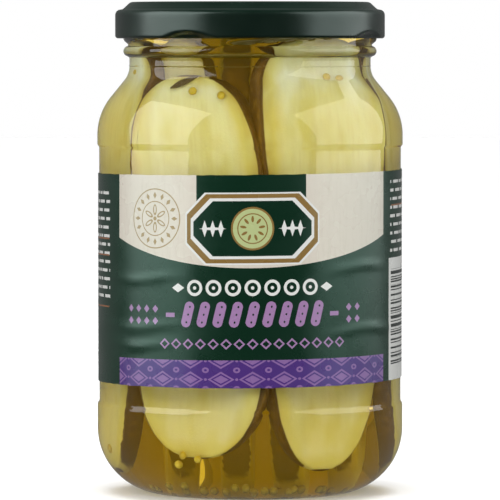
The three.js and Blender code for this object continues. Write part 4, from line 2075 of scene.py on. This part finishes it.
@dataclass(frozen=True)
class Studio:
    """The pale floor, the soft lights, the surroundings and the camera.

    `dim` is how bright the surroundings are as light, `reflected` how bright they look in glossy
    surfaces in front of the jar and behind it, and `seen_through` how bright through the glass.
    """

    camera_height: float = 124.5
    camera_distance: float = 1330.0
    aim_height: float = 65.57
    lens: float = 353.8
    floor_size: float = 9.0
    softboxes: tuple[Softbox, ...] = (
        Softbox("left_shine", LightUse.SHINE, -74, (1.2, 0.6), (1.5, 1.3), 17.0),
        Softbox("right_shine", LightUse.SHINE, 84, (1.2, 0.6), (1.9, 1.3), 16.0),
        Softbox("front_fill", LightUse.FILL, -6, (0.75, 0.6), (1.1, 0.6), 6.2),
        Softbox("left_fill", LightUse.FILL, -80, (0.9, 0.5), (0.8, 0.8), 2.6),
        Softbox("right_fill", LightUse.FILL, 80, (0.9, 0.5), (0.8, 0.8), 2.0),
    )
    overall_power: float = 2.8
    overall_angle: float = 25.0
    dim: float = 0.35
    reflected: Point = (0.03, 0.2)
    reflected_from: Point = (-0.1, 0.6)
    seen_through: float = 0.85

    def build(self) -> None:
        """Sets up the whole studio."""
        self.add_floor()
        self.add_surroundings()
        for softbox in self.softboxes:
            softbox.build(self.aim_height)
        self.add_overall_light()
        self.add_camera()

    def add_floor(self) -> None:
        """Lays the floor."""
        deselect()
        bpy.ops.mesh.primitive_plane_add(size=self.floor_size, location=(0, 0, 0))
        floor = bpy.context.object
        floor.name = "floor"
        floor.data.materials.append(PaleFloor().material())
        floor.visible_glossy = False
        floor.visible_diffuse = False

    def add_surroundings(self) -> None:
        """Makes plain surroundings: white where they are seen, dimmer as light."""
        world = bpy.data.worlds.new("studio")
        bpy.context.scene.world = world
        world.use_nodes = True
        tree = world.node_tree
        tree.nodes.clear()
        path = tree.nodes.new("ShaderNodeLightPath")
        output = tree.nodes.new("ShaderNodeOutputWorld")
        direction = tree.nodes.new("ShaderNodeTexCoord")
        split = tree.nodes.new("ShaderNodeSeparateXYZ")
        behind = tree.nodes.new("ShaderNodeMapRange")
        tree.links.new(direction.outputs["Generated"], split.inputs[0])
        tree.links.new(split.outputs["Y"], behind.inputs["Value"])
        for bound, value in zip(("From Min", "From Max"), self.reflected_from):
            behind.inputs[bound].default_value = value
        front, back = [self.background(tree, strength) for strength in self.reflected]
        glossy = self.mixed(tree, behind.outputs[0], front, back)
        shown = self.background(tree, self.dim)
        beyond = tree.nodes.new("ShaderNodeMath")
        beyond.operation = "COMPARE"
        tree.links.new(path.outputs["Diffuse Depth"], beyond.inputs[0])
        beyond.inputs[1].default_value = 0.0
        beyond.inputs[2].default_value = 0.5
        seen_through = self.background(tree, self.seen_through)
        tree.links.new(beyond.outputs[0], seen_through.node.inputs["Strength"])
        for rays, seen in (
            ("Is Glossy Ray", glossy),
            ("Is Transmission Ray", seen_through),
            ("Is Camera Ray", self.background(tree, 1.0)),
        ):
            shown = self.mixed(tree, path.outputs[rays], shown, seen)
        tree.links.new(shown, output.inputs["Surface"])

    def background(self, tree: bpy.types.NodeTree, strength: float) -> Socket:
        """Adds a white background of some strength to the surroundings' nodes.

        Args:
            tree: The surroundings' nodes.
            strength: How bright it is.

        Returns:
            The background.
        """
        background = tree.nodes.new("ShaderNodeBackground")
        background.inputs["Color"].default_value = (1, 1, 1, 1)
        background.inputs["Strength"].default_value = strength
        return background.outputs[0]

    def mixed(self, tree: bpy.types.NodeTree, share: Socket, first: Socket, second: Socket) -> Socket:
        """Mixes two backgrounds of the surroundings' nodes.

        Args:
            tree: The surroundings' nodes.
            share: The second background's share.
            first: The first background.
            second: The second background.

        Returns:
            The mixed background.
        """
        mixed = tree.nodes.new("ShaderNodeMixShader")
        for socket, source in zip(mixed.inputs, (share, first, second)):
            tree.links.new(source, socket)
        return mixed.outputs[0]

    def add_overall_light(self) -> None:
        """Adds a very soft light from above, which lights the floor evenly far back."""
        data = bpy.data.lights.new("overall_light", "SUN")
        data.energy = self.overall_power
        data.angle = math.radians(self.overall_angle)
        lamp = bpy.data.objects.new("overall_light", data)
        lamp.visible_glossy = False
        lamp.visible_transmission = False
        bpy.context.scene.collection.objects.link(lamp)

    def add_camera(self) -> None:
        """Adds the camera at the photograph's viewing angle."""
        data = bpy.data.cameras.new("camera")
        data.lens = self.lens
        data.sensor_width = 36.0
        data.clip_end = 50.0
        camera = bpy.data.objects.new("camera", data)
        camera.location = (0, -self.camera_distance * MM, self.camera_height * MM)
        aim = Vector((0, 0, self.aim_height * MM)) - camera.location
        camera.rotation_euler = aim.to_track_quat("-Z", "Y").to_euler()
        bpy.context.scene.collection.objects.link(camera)
        bpy.context.scene.camera = camera


def set_tones() -> None:
    """Shows colours as they are, without a film curve."""
    bpy.context.scene.view_settings.view_transform = "Standard"
    bpy.context.scene.view_settings.look = "None"


def main() -> None:
    """Builds the studio and the jar, piece by piece."""
    logging.basicConfig(level=logging.INFO, format="%(message)s")
    Studio().build()
    set_tones()
    jar = GlassJar()
    jar.build()
    Brine(jar).build()
    SliceFilling(jar).build()
    SkinFlap(jar).build()
    MustardSeeds(jar).build()
    TwistOffLid().build()
    PaperLabel().build(LabelPrint())


if __name__ == "__main__":
    main()
